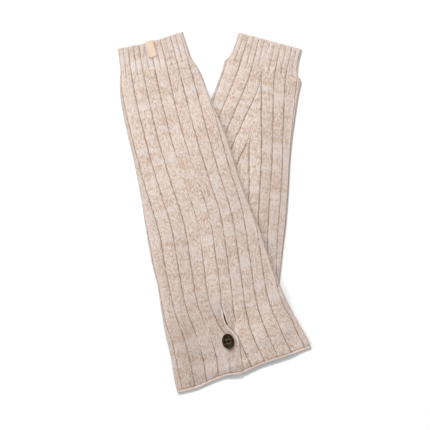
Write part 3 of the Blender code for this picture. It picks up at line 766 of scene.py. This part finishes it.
class BackLeg(Leg):
    """The leg warmer beneath: the fan of grooves that shapes its calf lies on top."""

    under_ribs = UNDER_RIBS_BACK
    gusset = GUSSET
    RIGHT = ("fan_left", "fan_a", "fan_b", "fan_right", "rib_f", "rib_g", "rib_h")
    LEFT = ("rib_b", "rib_a")

    def __init__(self, settings):
        super().__init__(
            BACK_START, BACK_HEADINGS, BACK_EDGES, BACK_LENGTH, settings, BACK_CREASES, BACK_FADES)

    def grooves(self, along):
        right = [read(BACK_GROOVES, name, along) for name in self.RIGHT]
        left = [read(BACK_GROOVES, name, along) for name in self.LEFT]
        right.append(2 * right[-1] - right[-2])
        left.append(2 * left[-1] - left[-2])
        ladder = smooth_step(along, *LADDER_STARTS) * (1 - smooth_step(along, *LADDER_ENDS))
        depths = np.ones(len(right))
        depths[1:3] = smooth_step(along, *FAN_GROOVES_ALONG)
        depths[3] = 1 + LADDER_GROOVE * ladder
        return (np.array(right), depths), (np.array(left), np.ones(len(left)))

    def seam(self, along):
        place = read(BACK_GROOVES, "rib_c", along)
        return place, place

    def pressed(self, along):
        return 1 - END_PRESS * smooth_step(along, *END_PRESS_ALONG)

    def relief(self, along, across):
        """The back leg stays plain where the front one lies on it."""
        return super().relief(along, across) * (1 - smooth_step(along, *BACK_CREASES_END))


# ---------------------------------------------------------------- meshes
def new_object(name, bm, material):
    """Makes an object of a mesh, at the origin, and gives it its material."""
    mesh = bpy.data.meshes.new(name)
    bm.to_mesh(mesh)
    bm.free()
    mesh.materials.append(material)
    thing = bpy.data.objects.new(name, mesh)
    bpy.context.scene.collection.objects.link(thing)
    return thing


def finish_piece(name, bm, material, replaces=()):
    """Makes a piece of a mesh, and says what it rides on and what it replaces."""
    piece = new_object(name, bm, material)
    piece.data.shade_smooth()
    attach(piece, "root")
    if replaces:
        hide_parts(*replaces)
    return piece


def rolled_leg(leg):
    """A grid rolled into the leg's tube, its seams closed. Gives back the bmesh."""
    outer, inner = leg.rows()
    rings = [leg.ring(along, False) for along in outer]
    rings += [leg.ring(along, True) for along in inner]
    along = np.concatenate((outer, inner))
    points = np.stack([ring[0] for ring in rings])
    wales = np.stack([ring[1] for ring in rings])
    rows, columns = wales.shape
    courses = np.repeat(along[:, None] / COURSE_HEIGHT, columns, axis=1)

    bm = bmesh.new()
    bmesh.ops.create_grid(bm, x_segments=columns - 1, y_segments=rows - 1, size=1)
    mesh = bpy.data.meshes.new("rolled")
    bm.to_mesh(mesh)
    bm.free()
    mesh.vertices.foreach_set("co", points.reshape(-1))
    corner = np.empty(len(mesh.loops), np.int32)
    mesh.loops.foreach_get("vertex_index", corner)
    knit = np.stack((wales.reshape(-1), courses.reshape(-1)), axis=1)
    layer = mesh.uv_layers.new(name="knit")
    layer.uv.foreach_set("vector", knit[corner].reshape(-1))
    for name, place in (("rib", 2), ("groove", 3), ("edge", 4)):
        values = np.stack([ring[place] for ring in rings]).reshape(-1)
        mesh.attributes.new(name, "FLOAT", "POINT").data.foreach_set("value", values)

    bm = bmesh.new()
    bm.from_mesh(mesh)
    bpy.data.meshes.remove(mesh)
    bmesh.ops.remove_doubles(bm, verts=bm.verts, dist=SAME_PLACE)
    bmesh.ops.dissolve_degenerate(bm, edges=bm.edges, dist=SAME_PLACE / 2)
    bmesh.ops.recalc_face_normals(bm, faces=bm.faces)
    return bm


# ---------------------------------------------------------------- materials
STITCH_SLANT = 0.55            # how much of a course a stitch's leg climbs across half a wale
BLOCKS_PER_COURSE = 0.24
LADDER_SHADE = (0.07, 0.035, 0.02)
SLIT_SHADE = (0.022, 0.01, 0.004)
WARP_PITCH = 0.42              # the tape's, in millimetres
WEFT_PITCH = 0.5
STITCH_ROW = 1.3               # above the tape's lower end
STITCH_PITCH = 1.7
SELVEDGE = (4.4, 4.9)          # from the tape's middle
LOWER_END_TINT = (0.5, 5.0)          # above its lower end
THREAD_TWIST = 0.45 * MM
FLOOR_TONES = ((0.709, 0.709, 0.705), (0.739, 0.74, 0.736))


class Nodes:
    """A new material, and short calls that add nodes to it and join them."""

    def __init__(self, name):
        self.material = bpy.data.materials.new(name)
        self.material.use_nodes = True
        self.tree = self.material.node_tree
        self.shader = self.tree.nodes["Principled BSDF"]

    def feed(self, socket, value):
        """Joins a socket, or sets its value. A colour is given as red, green and blue."""
        if isinstance(value, bpy.types.NodeSocket):
            self.tree.links.new(value, socket)
        elif socket.type == "RGBA":
            socket.default_value = (*value, 1)
        else:
            socket.default_value = value

    def add(self, kind, settings=None, **inputs):
        node = self.tree.nodes.new(kind)
        for name, value in (settings or {}).items():
            setattr(node, name, value)
        for name, value in inputs.items():
            self.feed(node.inputs[name], value)
        return node

    def math(self, operation, *values):
        node = self.add("ShaderNodeMath", {"operation": operation})
        for socket, value in zip(node.inputs, values):
            self.feed(socket, value)
        return node.outputs[0]

    def times(self, first, second):
        return self.math("MULTIPLY", first, second)

    def scaled(self, value, factor, added):
        """value * factor + added"""
        return self.math("MULTIPLY_ADD", value, factor, added)

    def sine(self, angle):
        return self.math("SINE", angle)

    def uv(self, name):
        """The two coordinates of a UV map."""
        place = self.add("ShaderNodeSeparateXYZ", Vector=self.add(
            "ShaderNodeUVMap", {"uv_map": name}).outputs["UV"])
        return place.outputs["X"], place.outputs["Y"]

    def object_place(self):
        return self.add("ShaderNodeTexCoord").outputs["Object"]

    def vector(self, x, y, z=0.0):
        return self.add("ShaderNodeCombineXYZ", X=x, Y=y, Z=z).outputs[0]

    def white(self, x, y, z=0.0):
        """A random number from 0 to 1 for each whole place."""
        node = self.add("ShaderNodeTexWhiteNoise", {"noise_dimensions": "3D"},
                        Vector=self.vector(x, y, z))
        return node.outputs["Value"]

    def noise(self, vector, scale, detail=2.0, roughness=0.5):
        node = self.add("ShaderNodeTexNoise", Vector=vector, Scale=scale, Detail=detail,
                        Roughness=roughness)
        return node.outputs["Fac"]

    def ramp(self, value, low, high, to_low=0.0, to_high=1.0):
        node = self.add("ShaderNodeMapRange", {"interpolation_type": "SMOOTHSTEP"})
        for name, item in (("Value", value), ("From Min", low), ("From Max", high),
                           ("To Min", to_low), ("To Max", to_high)):
            self.feed(node.inputs[name], item)
        return node.outputs["Result"]

    def mix(self, share, first, second):
        node = self.add("ShaderNodeMix", {"data_type": "RGBA"})
        for socket, value in ((node.inputs[0], share), (node.inputs[6], first),
                              (node.inputs[7], second)):
            self.feed(socket, value)
        return node.outputs[2]

    def attribute(self, name):
        return self.add("ShaderNodeAttribute", {"attribute_name": name}).outputs["Fac"]

    def bump(self, height, distance, strength=1.0, normal=None):
        node = self.add("ShaderNodeBump", Height=height, Distance=distance, Strength=strength)
        if normal is not None:
            self.feed(node.inputs["Normal"], normal)
        return node.outputs["Normal"]

    def surface(self, sockets):
        """Joins or sets the shader's own sockets, and gives back the material."""
        for name, value in sockets.items():
            self.feed(self.shader.inputs[name], value)
        return self.material


def knit_material(name, settings, shift):
    """Marled stockinette: slanted stitch legs, yarn that changes colour, painted shade in the
    grooves and hollows, and painted highlights on the edges.
    """
    n = Nodes(name)
    wale, course = n.uv("knit")
    rib = n.math("ROUND", n.attribute("rib"))
    groove = n.attribute("groove")
    edge = n.attribute("edge")

    def field(x, x_scale, y_scale, offset):
        """Soft noise over the knitting, around 0."""
        place = n.vector(n.times(x, x_scale), n.times(course, y_scale), shift + offset)
        return n.math("SUBTRACT", n.noise(place, 1.0, 2.0, 0.6), 0.5)

    # One stitch is a V of two slanted legs. "side" is 0 in a V's middle and 1 between wales.
    side = n.math("ABSOLUTE", n.scaled(n.math("FRACT", wale), 2.0, -1.0))
    tilted = n.scaled(side, -STITCH_SLANT, course)
    leg_middle = n.math("ABSOLUTE", n.scaled(side, 2.0, -1.0))
    across_leg = n.math("SUBTRACT", 1.0, n.times(leg_middle, leg_middle))
    along_leg = n.sine(n.times(n.math("FRACT", tilted), pi))
    stitch = n.times(n.math("POWER", across_leg, 0.5), n.math("POWER", along_leg, 0.6))

    # "zone" is how tan the yarn is: blocks one rib wide, and soft fields of several sizes.
    block_start = n.times(n.white(rib, 3.0, shift), 7.0)
    block_number = n.math("FLOOR", n.scaled(course, BLOCKS_PER_COURSE, block_start))
    block = n.math("SUBTRACT", n.white(rib, block_number, shift + 2.0), 0.5)
    cuff_end = CUFF_DEPTH / COURSE_HEIGHT
    zone = n.scaled(block, 0.3, n.ramp(course, cuff_end - 2, cuff_end + 3, 0.36, 0.5))
    for part, weight in ((field(rib, 2.7, 0.12, 1.0), 1.1), (field(rib, 5.3, 0.5, 4.0), 0.7),
                         (field(wale, 0.6, 0.5, 7.0), 0.6), (field(wale, 1.9, 0.1, 9.0), 1.3)):
        zone = n.scaled(part, weight, zone)

    # Single stitch legs differ from their zone, more so where the yarn is tan.
    leg_number = n.math("FLOOR", n.times(wale, 2.0))
    stitch_number = n.math("FLOOR", tilted)
    single = n.math("SUBTRACT", n.white(leg_number, stitch_number, shift), 0.5)
    lively = n.ramp(zone, 0.2, 0.8, 0.45, 1.25)
    tan = n.scaled(n.times(single, settings.marl), lively, zone)
    ply = n.sine(n.scaled(tilted, 13.0, n.times(wale, 17.0)))
    tan = n.ramp(n.scaled(ply, 0.06, tan), -0.15, 1.15)
    colour = n.mix(tan, settings.pale_yarn, settings.tan_yarn)
    fleck = n.ramp(n.white(leg_number, stitch_number, shift + 5.0), 0.86, 1.0)
    fleck = n.times(n.times(lively, fleck), settings.flecks)
    colour = n.mix(fleck, colour, settings.fleck_and_hollow_shade_colour)
    # Painted shade in the hollows between stitch legs, deepest between wales.
    hollow = n.times(n.ramp(stitch, 0.0, 0.8, 1.0, 0.0),
                     n.scaled(n.math("POWER", side, 4.0), 0.55, 0.1))
    colour = n.mix(hollow, colour, settings.fleck_and_hollow_shade_colour)
    # Negative edge tones are painted shade, darker and browner.
    painted_shade = n.math("MAXIMUM", n.times(edge, -1.0), 0.0)
    colour = n.mix(painted_shade, colour, settings.painted_shade_colour)

    # Painted highlight on the edges, and painted shade in the grooves: dotted brown lines, a ladder
    # of holes and the vent's dark slit.
    dots = n.sine(n.times(n.scaled(course, 0.7, n.times(wale, 5 / 7)), 2 * pi))
    # Painted highlight on the rolled edges, the folds and the vent's cut edges.
    rolled = n.math("MAXIMUM", n.times(edge, n.scaled(dots, -0.45, 0.6)), 0.0)
    colour = n.mix(rolled, colour, settings.edge_highlight_colour)
    uneven = n.ramp(field(rib, 5.3, 0.28, 11.0), -0.18, 0.14, 0.4, 1.15)
    dark = n.times(n.ramp(groove, 0.0, 0.8), n.times(n.scaled(dots, 0.42, 0.66), uneven))
    colour = n.mix(n.times(dark, settings.groove_strength), colour, settings.groove_shade_colour)
    ladder = n.times(n.ramp(groove, 1.02, 1.2), n.ramp(dots, -0.3, 0.5))
    colour = n.mix(ladder, colour, LADDER_SHADE)
    colour = n.mix(n.ramp(groove, 1.4, 1.7), colour, SLIT_SHADE)

    fuzz = n.bump(n.noise(n.object_place(), 2600.0, 4.0, 0.7), 0.12 * MM, 0.6)
    relief = n.math("ADD", stitch, n.times(ply, 0.12))
    return n.surface({
        "Base Color": colour, "Normal": n.bump(relief, settings.stitch_height, 1.0, fuzz),
        "Roughness": 0.92, "Specular IOR Level": 0.2,
        "Sheen Weight": 0.1, "Sheen Roughness": 0.6, "Sheen Tint": (1.0, 0.94, 0.88)})


def tape_material(settings):
    """Plain-woven cotton tape with a row of stitches near its lower end."""
    n = Nodes("woven_tape")
    across, along = n.uv("tape")       # millimetres
    warp = n.sine(n.times(across, 2 * pi / WARP_PITCH))
    weft = n.sine(n.times(along, 2 * pi / WEFT_PITCH))
    weave = n.times(warp, weft)
    tone = n.noise(n.vector(n.times(across, 0.8), n.times(along, 0.3)), 1.0, 3.0)
    colour = n.mix(tone, settings.tape, settings.tape_shade)
    # Painted shade in the weave's hollows, where the bump lies low.
    colour = n.mix(n.ramp(weave, -1.0, 0.2, 0.22, 0.0), colour, settings.stitches)
    # The tape is browner towards its lower end.
    lower_end_tint = n.times(n.ramp(along, *LOWER_END_TINT, 0.6, 0.0), n.ramp(tone, 0.3, 0.6))
    colour = n.mix(lower_end_tint, colour, settings.lower_end_tint)
    selvedge = n.ramp(n.math("ABSOLUTE", across), *SELVEDGE, 0.0, 0.35)
    colour = n.mix(selvedge, colour, settings.stitches)
    row = n.math("ABSOLUTE", n.math("SUBTRACT", along, STITCH_ROW))
    dash = n.ramp(n.sine(n.times(across, 2 * pi / STITCH_PITCH)), -0.5, 0.1)
    sewn = n.times(n.ramp(row, 0.2, 0.55, 1.0, 0.0), dash)
    colour = n.mix(sewn, colour, settings.stitches)
    normal = n.bump(sewn, 0.3 * MM, 1.0, n.bump(weave, 0.08 * MM, 0.7))
    return n.surface({"Base Color": colour, "Normal": normal, "Roughness": 0.8,
                      "Specular IOR Level": 0.3, "Sheen Weight": 0.1})


def horn_material(settings):
    """Polished dark horn with amber clouds and fine streaks."""
    n = Nodes("horn")
    place = n.object_place()
    cloud = n.ramp(n.noise(place, 330.0, 3.0, 0.6), 0.42, 0.72)
    stretched = n.add("ShaderNodeMapping", {"vector_type": "POINT"}, Vector=place,
                      Scale=(2.4, 0.6, 1.0)).outputs["Vector"]
    streak = n.ramp(n.noise(stretched, 900.0, 3.0, 0.6), 0.5, 0.75)
    colour = n.mix(cloud, settings.horn, settings.amber)
    colour = n.mix(n.times(streak, 0.55), colour, settings.amber)
    return n.surface({
        "Base Color": colour, "Normal": n.bump(streak, 0.05 * MM, 0.4),
        "Roughness": n.ramp(cloud, 0.0, 1.0, 0.36, 0.5), "Specular IOR Level": 0.04})


def thread_material(name, colour):
    """Twisted sewing thread."""
    n = Nodes(name)
    place = n.add("ShaderNodeSeparateXYZ", Vector=n.object_place()).outputs
    slanted = n.math("ADD", place["X"], n.math("ADD", place["Y"], place["Z"]))
    twist = n.sine(n.times(slanted, 2 * pi / THREAD_TWIST))
    # Painted shade in the twist's hollows, where the bump lies low.
    twist_shade = [0.6 * value for value in colour]
    return n.surface({
        "Base Color": n.mix(n.ramp(twist, -1.0, 1.0), twist_shade, colour),
        "Normal": n.bump(twist, 0.08 * MM, 0.8), "Roughness": 0.7, "Sheen Weight": 0.2})


def floor_material():
    """Matt paper, a little uneven."""
    n = Nodes("studio_floor")
    grain = n.noise(n.object_place(), 90.0, 3.0)
    return n.surface({"Base Color": n.mix(grain, *FLOOR_TONES), "Roughness": 0.9,
                      "Specular IOR Level": 0.0})


# ---------------------------------------------------------------- settings
def colour_property(name, default, description):
    return FloatVectorProperty(
        name=name, description=description, subtype="COLOR", size=3, min=0, max=1,
        default=default)


def length_property(name, default, description):
    return FloatProperty(
        name=name, description=description, subtype="DISTANCE", unit="LENGTH", min=0,
        default=default)


def share_property(name, default, description, most=1):
    return FloatProperty(
        name=name, description=description, subtype="FACTOR", min=0, max=most, default=default)


def power_property(name, default, description):
    return FloatProperty(
        name=name, description=description, subtype="POWER", unit="POWER", min=0,
        default=default)


class KnitSettings(bpy.types.PropertyGroup):
    """Sizes and yarn colours of the knitting, and the colours of its painted shade and highlights.
    """

    rib_depth: length_property("Rib depth", 1.3 * MM, "How far the grooves lie below the ribs")
    wale_depth: length_property("Wale depth", 0.38 * MM, "How far the wales stand out")
    stitch_height: length_property("Stitch height", 0.7 * MM, "How far single stitches stand out")
    groove_strength: share_property("Groove strength", 1.0, "How dark the grooves are")
    marl: share_property("Marl", 1.3, "How much single stitches differ in colour", most=2)
    flecks: share_property("Flecks", 0.45, "How dark the scattered brown stitches are")
    pale_yarn: colour_property("Pale yarn", (0.74, 0.66, 0.625), "The yarn's greyish off-white")
    tan_yarn: colour_property("Tan yarn", (0.545, 0.395, 0.30), "The yarn's pinkish beige")
    # The yarn's brown flecks, and also the painted shade in the hollows between stitches.
    fleck_and_hollow_shade_colour: colour_property("Fleck colour", (0.34, 0.175, 0.11), "The yarn's brown flecks")
    # The painted shade on the front leg, darker and browner.
    painted_shade_colour: colour_property("Dull colour", (0.2, 0.135, 0.10), "Where the yarn is duller")
    # The painted highlight on the rolled edges, the folds and the vent's cut edges.
    edge_highlight_colour: colour_property("Edge colour", (0.92, 0.80, 0.73), "The rolled edges")
    # The painted shade in the grooves, the eyelets and the hem's stitched line.
    groove_shade_colour: colour_property("Groove colour", (0.2, 0.1, 0.055), "Deep between the ribs")


class LabelSettings(bpy.types.PropertyGroup):
    """The bare label tab on the front leg's cuff."""

    thickness: length_property("Thickness", 0.4 * MM, "The woven tape's thickness")
    tape: colour_property("Tape", (0.60, 0.49, 0.39), "The tape's cream")
    tape_shade: colour_property("Tape shade", (0.43, 0.33, 0.245), "The cream's warmer streaks")
    # The tape's browner tint towards its lower end.
    lower_end_tint: colour_property("Worn end", (0.56, 0.40, 0.31), "The tint near the tab's lower end")
    # Also the painted shade in the weave's hollows.
    stitches: colour_property("Stitches", (0.33, 0.20, 0.13), "The row that sews the tab on")


class ButtonSettings(bpy.types.PropertyGroup):
    """The oval four-hole button on the vent, and its threads."""

    width: length_property("Width", 15.2 * MM, "The button's shorter side")
    length: length_property("Length", 19 * MM, "The button's longer side")
    thread_width: length_property("Thread width", 0.9 * MM, "The sewing thread's thickness")
    horn: colour_property("Horn", (0.004, 0.0022, 0.001), "The dark horn")
    amber: colour_property("Amber", (0.07, 0.038, 0.013), "The clouds in the horn")
    thread: colour_property("Thread", (0.10, 0.078, 0.052), "The thread through the holes")
    tack: colour_property("Tack", (0.42, 0.28, 0.19), "The stitches at the buttonhole's end")


class StageSettings(bpy.types.PropertyGroup):
    """The camera's place, the lights and the floor."""

    camera_height: length_property("Camera height", 3.2, "Above the floor, looking down")
    frame_width: length_property("Frame width", 0.516, "What the image takes in at the knitting")
    key_power: power_property("Key light", 25, "Power of the soft light from the top")
    side_power: power_property("Side light", 6.5, "Power of the wide light at the left")
    fill_strength: FloatProperty(
        name="Fill", description="Strength of the light from all round", min=0, default=0.74)


# ---------------------------------------------------------------- stage
FLOOR_REACH = 6                # metres each way
FLOOR_GAP = 0.02 * MM          # between the floor and the knitting
LIGHT_COLOUR = (1.0, 0.992, 0.98)
SKY_COLOUR = (0.97, 0.99, 1.0)
SENSOR = 36                    # millimetres
CAMERA_SEES = 20               # metres
CAMERA_OVER = (0.15 * MM, -3.8 * MM)
KNIT_HEIGHT = 5 * MM           # the knitting's, on average: the frame's width is met there


# ---------------------------------------------------------------- operators
class LEGWARMERS_OT_knit(bpy.types.Operator):
    """Replaces the two plain tubes by ribbed knitting"""

    bl_idname = "legwarmers.knit"
    bl_label = "Knit Both Legs"

    def execute(self, context):
        settings = context.scene.leg_warmer_knit
        back = BackLeg(settings)
        front = FrontLeg(back, settings)
        back_piece = finish_piece(
            "back_leg_knit", rolled_leg(back), knit_material("back_knit", settings, 40.0),
            ["back_leg"])
        front_piece = finish_piece(
            "front_leg_knit", rolled_leg(front), knit_material("front_knit", settings, 0.0),
            ["front_leg"])
        widest_girth(back)
        cut_area(back)
        widest_girth(front)
        cut_area(front)
        return {"FINISHED"}


def girths(leg):
    """The girths of a leg's cut at even steps down it."""
    sections = [leg.section(along) for along in np.linspace(0, leg.length, 60)]
    return np.array([section[4] - section[0] for section in sections])


def widest_girth(leg):
    return float(girths(leg).max())


def cut_area(leg):
    """The area of the cut all round a leg."""
    return float(girths(leg).mean() * leg.length)


class LEGWARMERS_OT_label(bpy.types.Operator):
    """Folds the bare label tab over the edge of the front leg's cuff"""

    bl_idname = "legwarmers.label"
    bl_label = "Sew On Label Tab"

    def execute(self, context):
        knit = context.scene.leg_warmer_knit
        settings = context.scene.leg_warmer_label
        leg = FrontLeg(BackLeg(knit), knit)
        middle = (LABEL_LEFT + LABEL_RIGHT) / 2
        width = LABEL_RIGHT - LABEL_LEFT
        half = settings.thickness / 2
        crown = float(leg.crown(0.0, np.array(middle)))
        outside = crown + LABEL_OVER + half
        inside = crown - UPPER_WALL - LABEL_UNDER - half
        turn = (outside - inside) / 2

        # The tape's path, down the leg and up from the floor, from its lower end to its tuck.
        outer_rows, turn_rows, inner_rows = LABEL_ROWS
        path = [(place, outside - LABEL_SETTLE * smooth_step(place, *LABEL_SETTLE_ALONG))
                for place in np.linspace(LABEL_LENGTH, LABEL_TURN_AT, outer_rows)]
        path += [(LABEL_TURN_AT - LABEL_TURN_REACH * sin(angle),
                  (outside + inside) / 2 + turn * cos(angle))
                 for angle in np.linspace(0, pi, turn_rows)[1:-1]]
        path += [(place, inside) for place in np.linspace(LABEL_TURN_AT, LABEL_TUCK, inner_rows)]
        path = np.array(path)
        travel = np.concatenate(([0], np.cumsum(np.hypot(*np.diff(path, axis=0).T))))

        bm = bmesh.new()
        bmesh.ops.create_grid(bm, x_segments=LABEL_COLUMNS, y_segments=len(path) - 1, size=1)
        layer = bm.loops.layers.uv.new("tape")
        spots = {}
        for vert in bm.verts:
            row = round((vert.co.y + 1) / 2 * (len(path) - 1))
            across = middle + vert.co.x * width / 2
            x, y = leg.line.place(path[row][0], across)
            crowned = float(leg.crown(0.0, np.array(across))) - crown
            vert.co = (x, y, path[row][1] + crowned)
            spots[vert] = ((across - middle) / MM, travel[row] / MM)
        for face in bm.faces:
            for loop in face.loops:
                loop[layer].uv = spots[loop.vert]
        bmesh.ops.recalc_face_normals(bm, faces=bm.faces)
        bmesh.ops.solidify(bm, geom=bm.faces[:], thickness=settings.thickness)
        piece = finish_piece(
            "label_tape", bm, tape_material(settings), ["label_tab"])
        return {"FINISHED"}


class LEGWARMERS_OT_button(bpy.types.Operator):
    """Turns the oval horn button, and sews it to the vent's flap"""

    bl_idname = "legwarmers.button"
    bl_label = "Sew On Button"

    def execute(self, context):
        settings = context.scene.leg_warmer_button
        low, high = (Vector(corner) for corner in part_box("button"))
        centre = Vector(((low.x + high.x) / 2, (low.y + high.y) / 2, low.z))
        turned = Matrix.Translation(centre) @ Matrix.Rotation(radians(BUTTON_TURN), 4, "Z")
        radii = (settings.width / 2, settings.length / 2)

        bm = button_cage()
        bmesh.ops.scale(bm, verts=bm.verts, vec=(CAGE * radii[0], CAGE * radii[1], 1.0))
        bmesh.ops.transform(bm, matrix=turned, verts=bm.verts)
        button = finish_piece(
            "horn_button", bm, horn_material(settings), ["button"])
        rounder = button.modifiers.new("round", "SUBSURF")
        rounder.levels = rounder.render_levels = 3

        # Two stitches through the holes.
        bm = bmesh.new()
        for side in (-1, 1):
            sew(bm, HOLE_AT * radii[0], side * HOLE_AT * radii[1], THREAD_START,
                settings.thread_width, BUTTON_DISH * MM + THREAD_OVER_DISH)
        bmesh.ops.transform(bm, matrix=turned, verts=bm.verts)
        finish_piece("button_thread", bm, thread_material("button_thread", settings.thread))

        # The tack at the buttonhole's lower end.
        bm = bmesh.new()
        for step in range(TACK_STITCHES):
            sew(bm, TACK_HALF_WIDTH, -radii[1] - TACK_START - TACK_STEP * step, -TACK_DEPTH,
                TACK_THREAD, TACK_RISE)
        bmesh.ops.transform(bm, matrix=turned, verts=bm.verts)
        finish_piece("buttonhole_tack", bm, thread_material("tack_thread", settings.tack))
        return {"FINISHED"}


def button_cage():
    """A cage of the button with a radius of 1, its heights in metres, for subdivision."""
    bm = bmesh.new()
    sheets = []
    for height in (BUTTON_DISH * MM, 0.0):
        grid = bmesh.ops.create_grid(bm, x_segments=2, y_segments=2, size=1)["verts"]
        for vert in grid:
            vert.co.xy = vert.co.xy.normalized() * BUTTON_DISH_RADIUS
            vert.co.z = height
        faces = [face for face in bm.faces if face.verts[0] in grid]
        bmesh.ops.inset_individual(bm, faces=faces, thickness=HOLE_INSET)
        sheets.append(faces)
    for top, bottom in zip(*sheets):
        edges = top.edges[:] + bottom.edges[:]
        bmesh.ops.delete(bm, geom=[top, bottom], context="FACES_ONLY")
        bmesh.ops.bridge_loops(bm, edges=edges)
    rim = [edge for edge in bm.edges if edge.is_boundary and edge.verts[0].co.z > MM]
    for share, height in BUTTON_PROFILE:
        grown = bmesh.ops.extrude_edge_only(bm, edges=rim)["geom"]
        for vert in (item for item in grown if isinstance(item, bmesh.types.BMVert)):
            vert.co.xy = vert.co.xy.normalized() * share
            vert.co.z = height * MM
        rim = [item for item in grown if isinstance(item, bmesh.types.BMEdge)]
    bmesh.ops.remove_doubles(bm, verts=bm.verts, dist=SAME_PLACE)
    bmesh.ops.recalc_face_normals(bm, faces=bm.faces)
    return bm


def sew(bm, reach, across, height, width, rise):
    """Adds one stitch of thread: an arch from side to side, with closed ends."""
    middle = Vector((0, across, height))
    earlier = set(bm.verts)
    ring = bmesh.ops.create_circle(bm, segments=10, radius=width / 2)["verts"]
    edges = [edge for edge in bm.edges if edge.verts[0] in ring]
    bmesh.ops.translate(bm, verts=ring, vec=(-reach, across, height))
    bmesh.ops.spin(bm, geom=ring + edges, cent=middle, axis=(0, -1, 0), angle=-pi, steps=12,
                   use_merge=False)
    verts = [vert for vert in bm.verts if vert not in earlier]
    bmesh.ops.scale(bm, verts=verts, vec=(1, 1, rise / reach), space=Matrix.Translation(-middle))
    open_edges = [edge for edge in bm.edges if edge.is_boundary]
    bmesh.ops.holes_fill(bm, edges=open_edges, sides=0)
    bmesh.ops.recalc_face_normals(bm, faces=bm.faces)


class LEGWARMERS_OT_stage(bpy.types.Operator):
    """Lays the pale floor, and sets up the soft lights and the camera overhead"""

    bl_idname = "legwarmers.stage"
    bl_label = "Set Up Stage"

    def execute(self, context):
        scene = context.scene
        settings = scene.leg_warmer_stage
        bm = bmesh.new()
        bmesh.ops.create_grid(bm, x_segments=8, y_segments=8, size=FLOOR_REACH)
        bmesh.ops.translate(bm, verts=bm.verts, vec=(0, 0, -FLOOR_GAP))
        new_object("floor", bm, floor_material())

        for name, size, power, place, target in (
            ("key", 0.3, settings.key_power, (-0.26, 0.90, 1.42), (0.0, 0.05, 0)),
            ("side", 0.8, settings.side_power, (-0.95, 0.25, 0.95), (-0.05, 0.0, 0)),
        ):
            light = bpy.data.lights.new(name, "AREA")
            light.shape = "DISK"
            light.size = size
            light.energy = power
            light.color = LIGHT_COLOUR
            lamp = bpy.data.objects.new(name, light)
            lamp.location = place
            aim(lamp, target)
            scene.collection.objects.link(lamp)

        world = bpy.data.worlds.new("studio")
        world.use_nodes = True
        sky = world.node_tree.nodes["Background"]
        sky.inputs["Color"].default_value = (*SKY_COLOUR, 1)
        sky.inputs["Strength"].default_value = settings.fill_strength
        scene.world = world
        scene.view_settings.view_transform = "Standard"

        lens = bpy.data.cameras.new("camera")
        lens.sensor_width = SENSOR
        lens.lens = SENSOR * settings.camera_height / settings.frame_width
        lens.clip_end = CAMERA_SEES
        camera = bpy.data.objects.new("camera", lens)
        camera.location = (*CAMERA_OVER, settings.camera_height + KNIT_HEIGHT)
        scene.collection.objects.link(camera)
        scene.camera = camera
        return {"FINISHED"}


def aim(thing, target):
    """Turns a light so that it shines at a point."""
    direction = Vector(target) - Vector(thing.location)
    thing.rotation_euler = direction.to_track_quat("-Z", "Y").to_euler()


class LEGWARMERS_PT_pair(bpy.types.Panel):
    """The steps that dress the pair, each above its sizes and colours"""

    bl_idname = "LEGWARMERS_PT_pair"
    bl_label = "Leg Warmers"
    bl_space_type = "VIEW_3D"
    bl_region_type = "UI"
    bl_category = "Leg Warmers"

    def draw(self, context):
        for operator, settings in zip(OPERATORS, SETTINGS):
            box = self.layout.box()
            box.operator(operator.bl_idname)
            for name in settings[1].__annotations__:
                box.prop(getattr(context.scene, settings[0]), name)


OPERATORS = (LEGWARMERS_OT_knit, LEGWARMERS_OT_label, LEGWARMERS_OT_button, LEGWARMERS_OT_stage)
SETTINGS = (("leg_warmer_knit", KnitSettings), ("leg_warmer_label", LabelSettings),
            ("leg_warmer_button", ButtonSettings), ("leg_warmer_stage", StageSettings))
CLASSES = tuple(group for _, group in SETTINGS) + OPERATORS + (LEGWARMERS_PT_pair,)


def register():
    for item in CLASSES:
        bpy.utils.register_class(item)
    for name, group in SETTINGS:
        setattr(bpy.types.Scene, name, PointerProperty(type=group))


def unregister():
    for name, _ in SETTINGS:
        delattr(bpy.types.Scene, name)
    for item in reversed(CLASSES):
        bpy.utils.unregister_class(item)


def main():
    register()
    bpy.ops.legwarmers.knit()
    bpy.ops.legwarmers.label()
    bpy.ops.legwarmers.button()
    bpy.ops.legwarmers.stage()


if __name__ == "__main__":
    main()
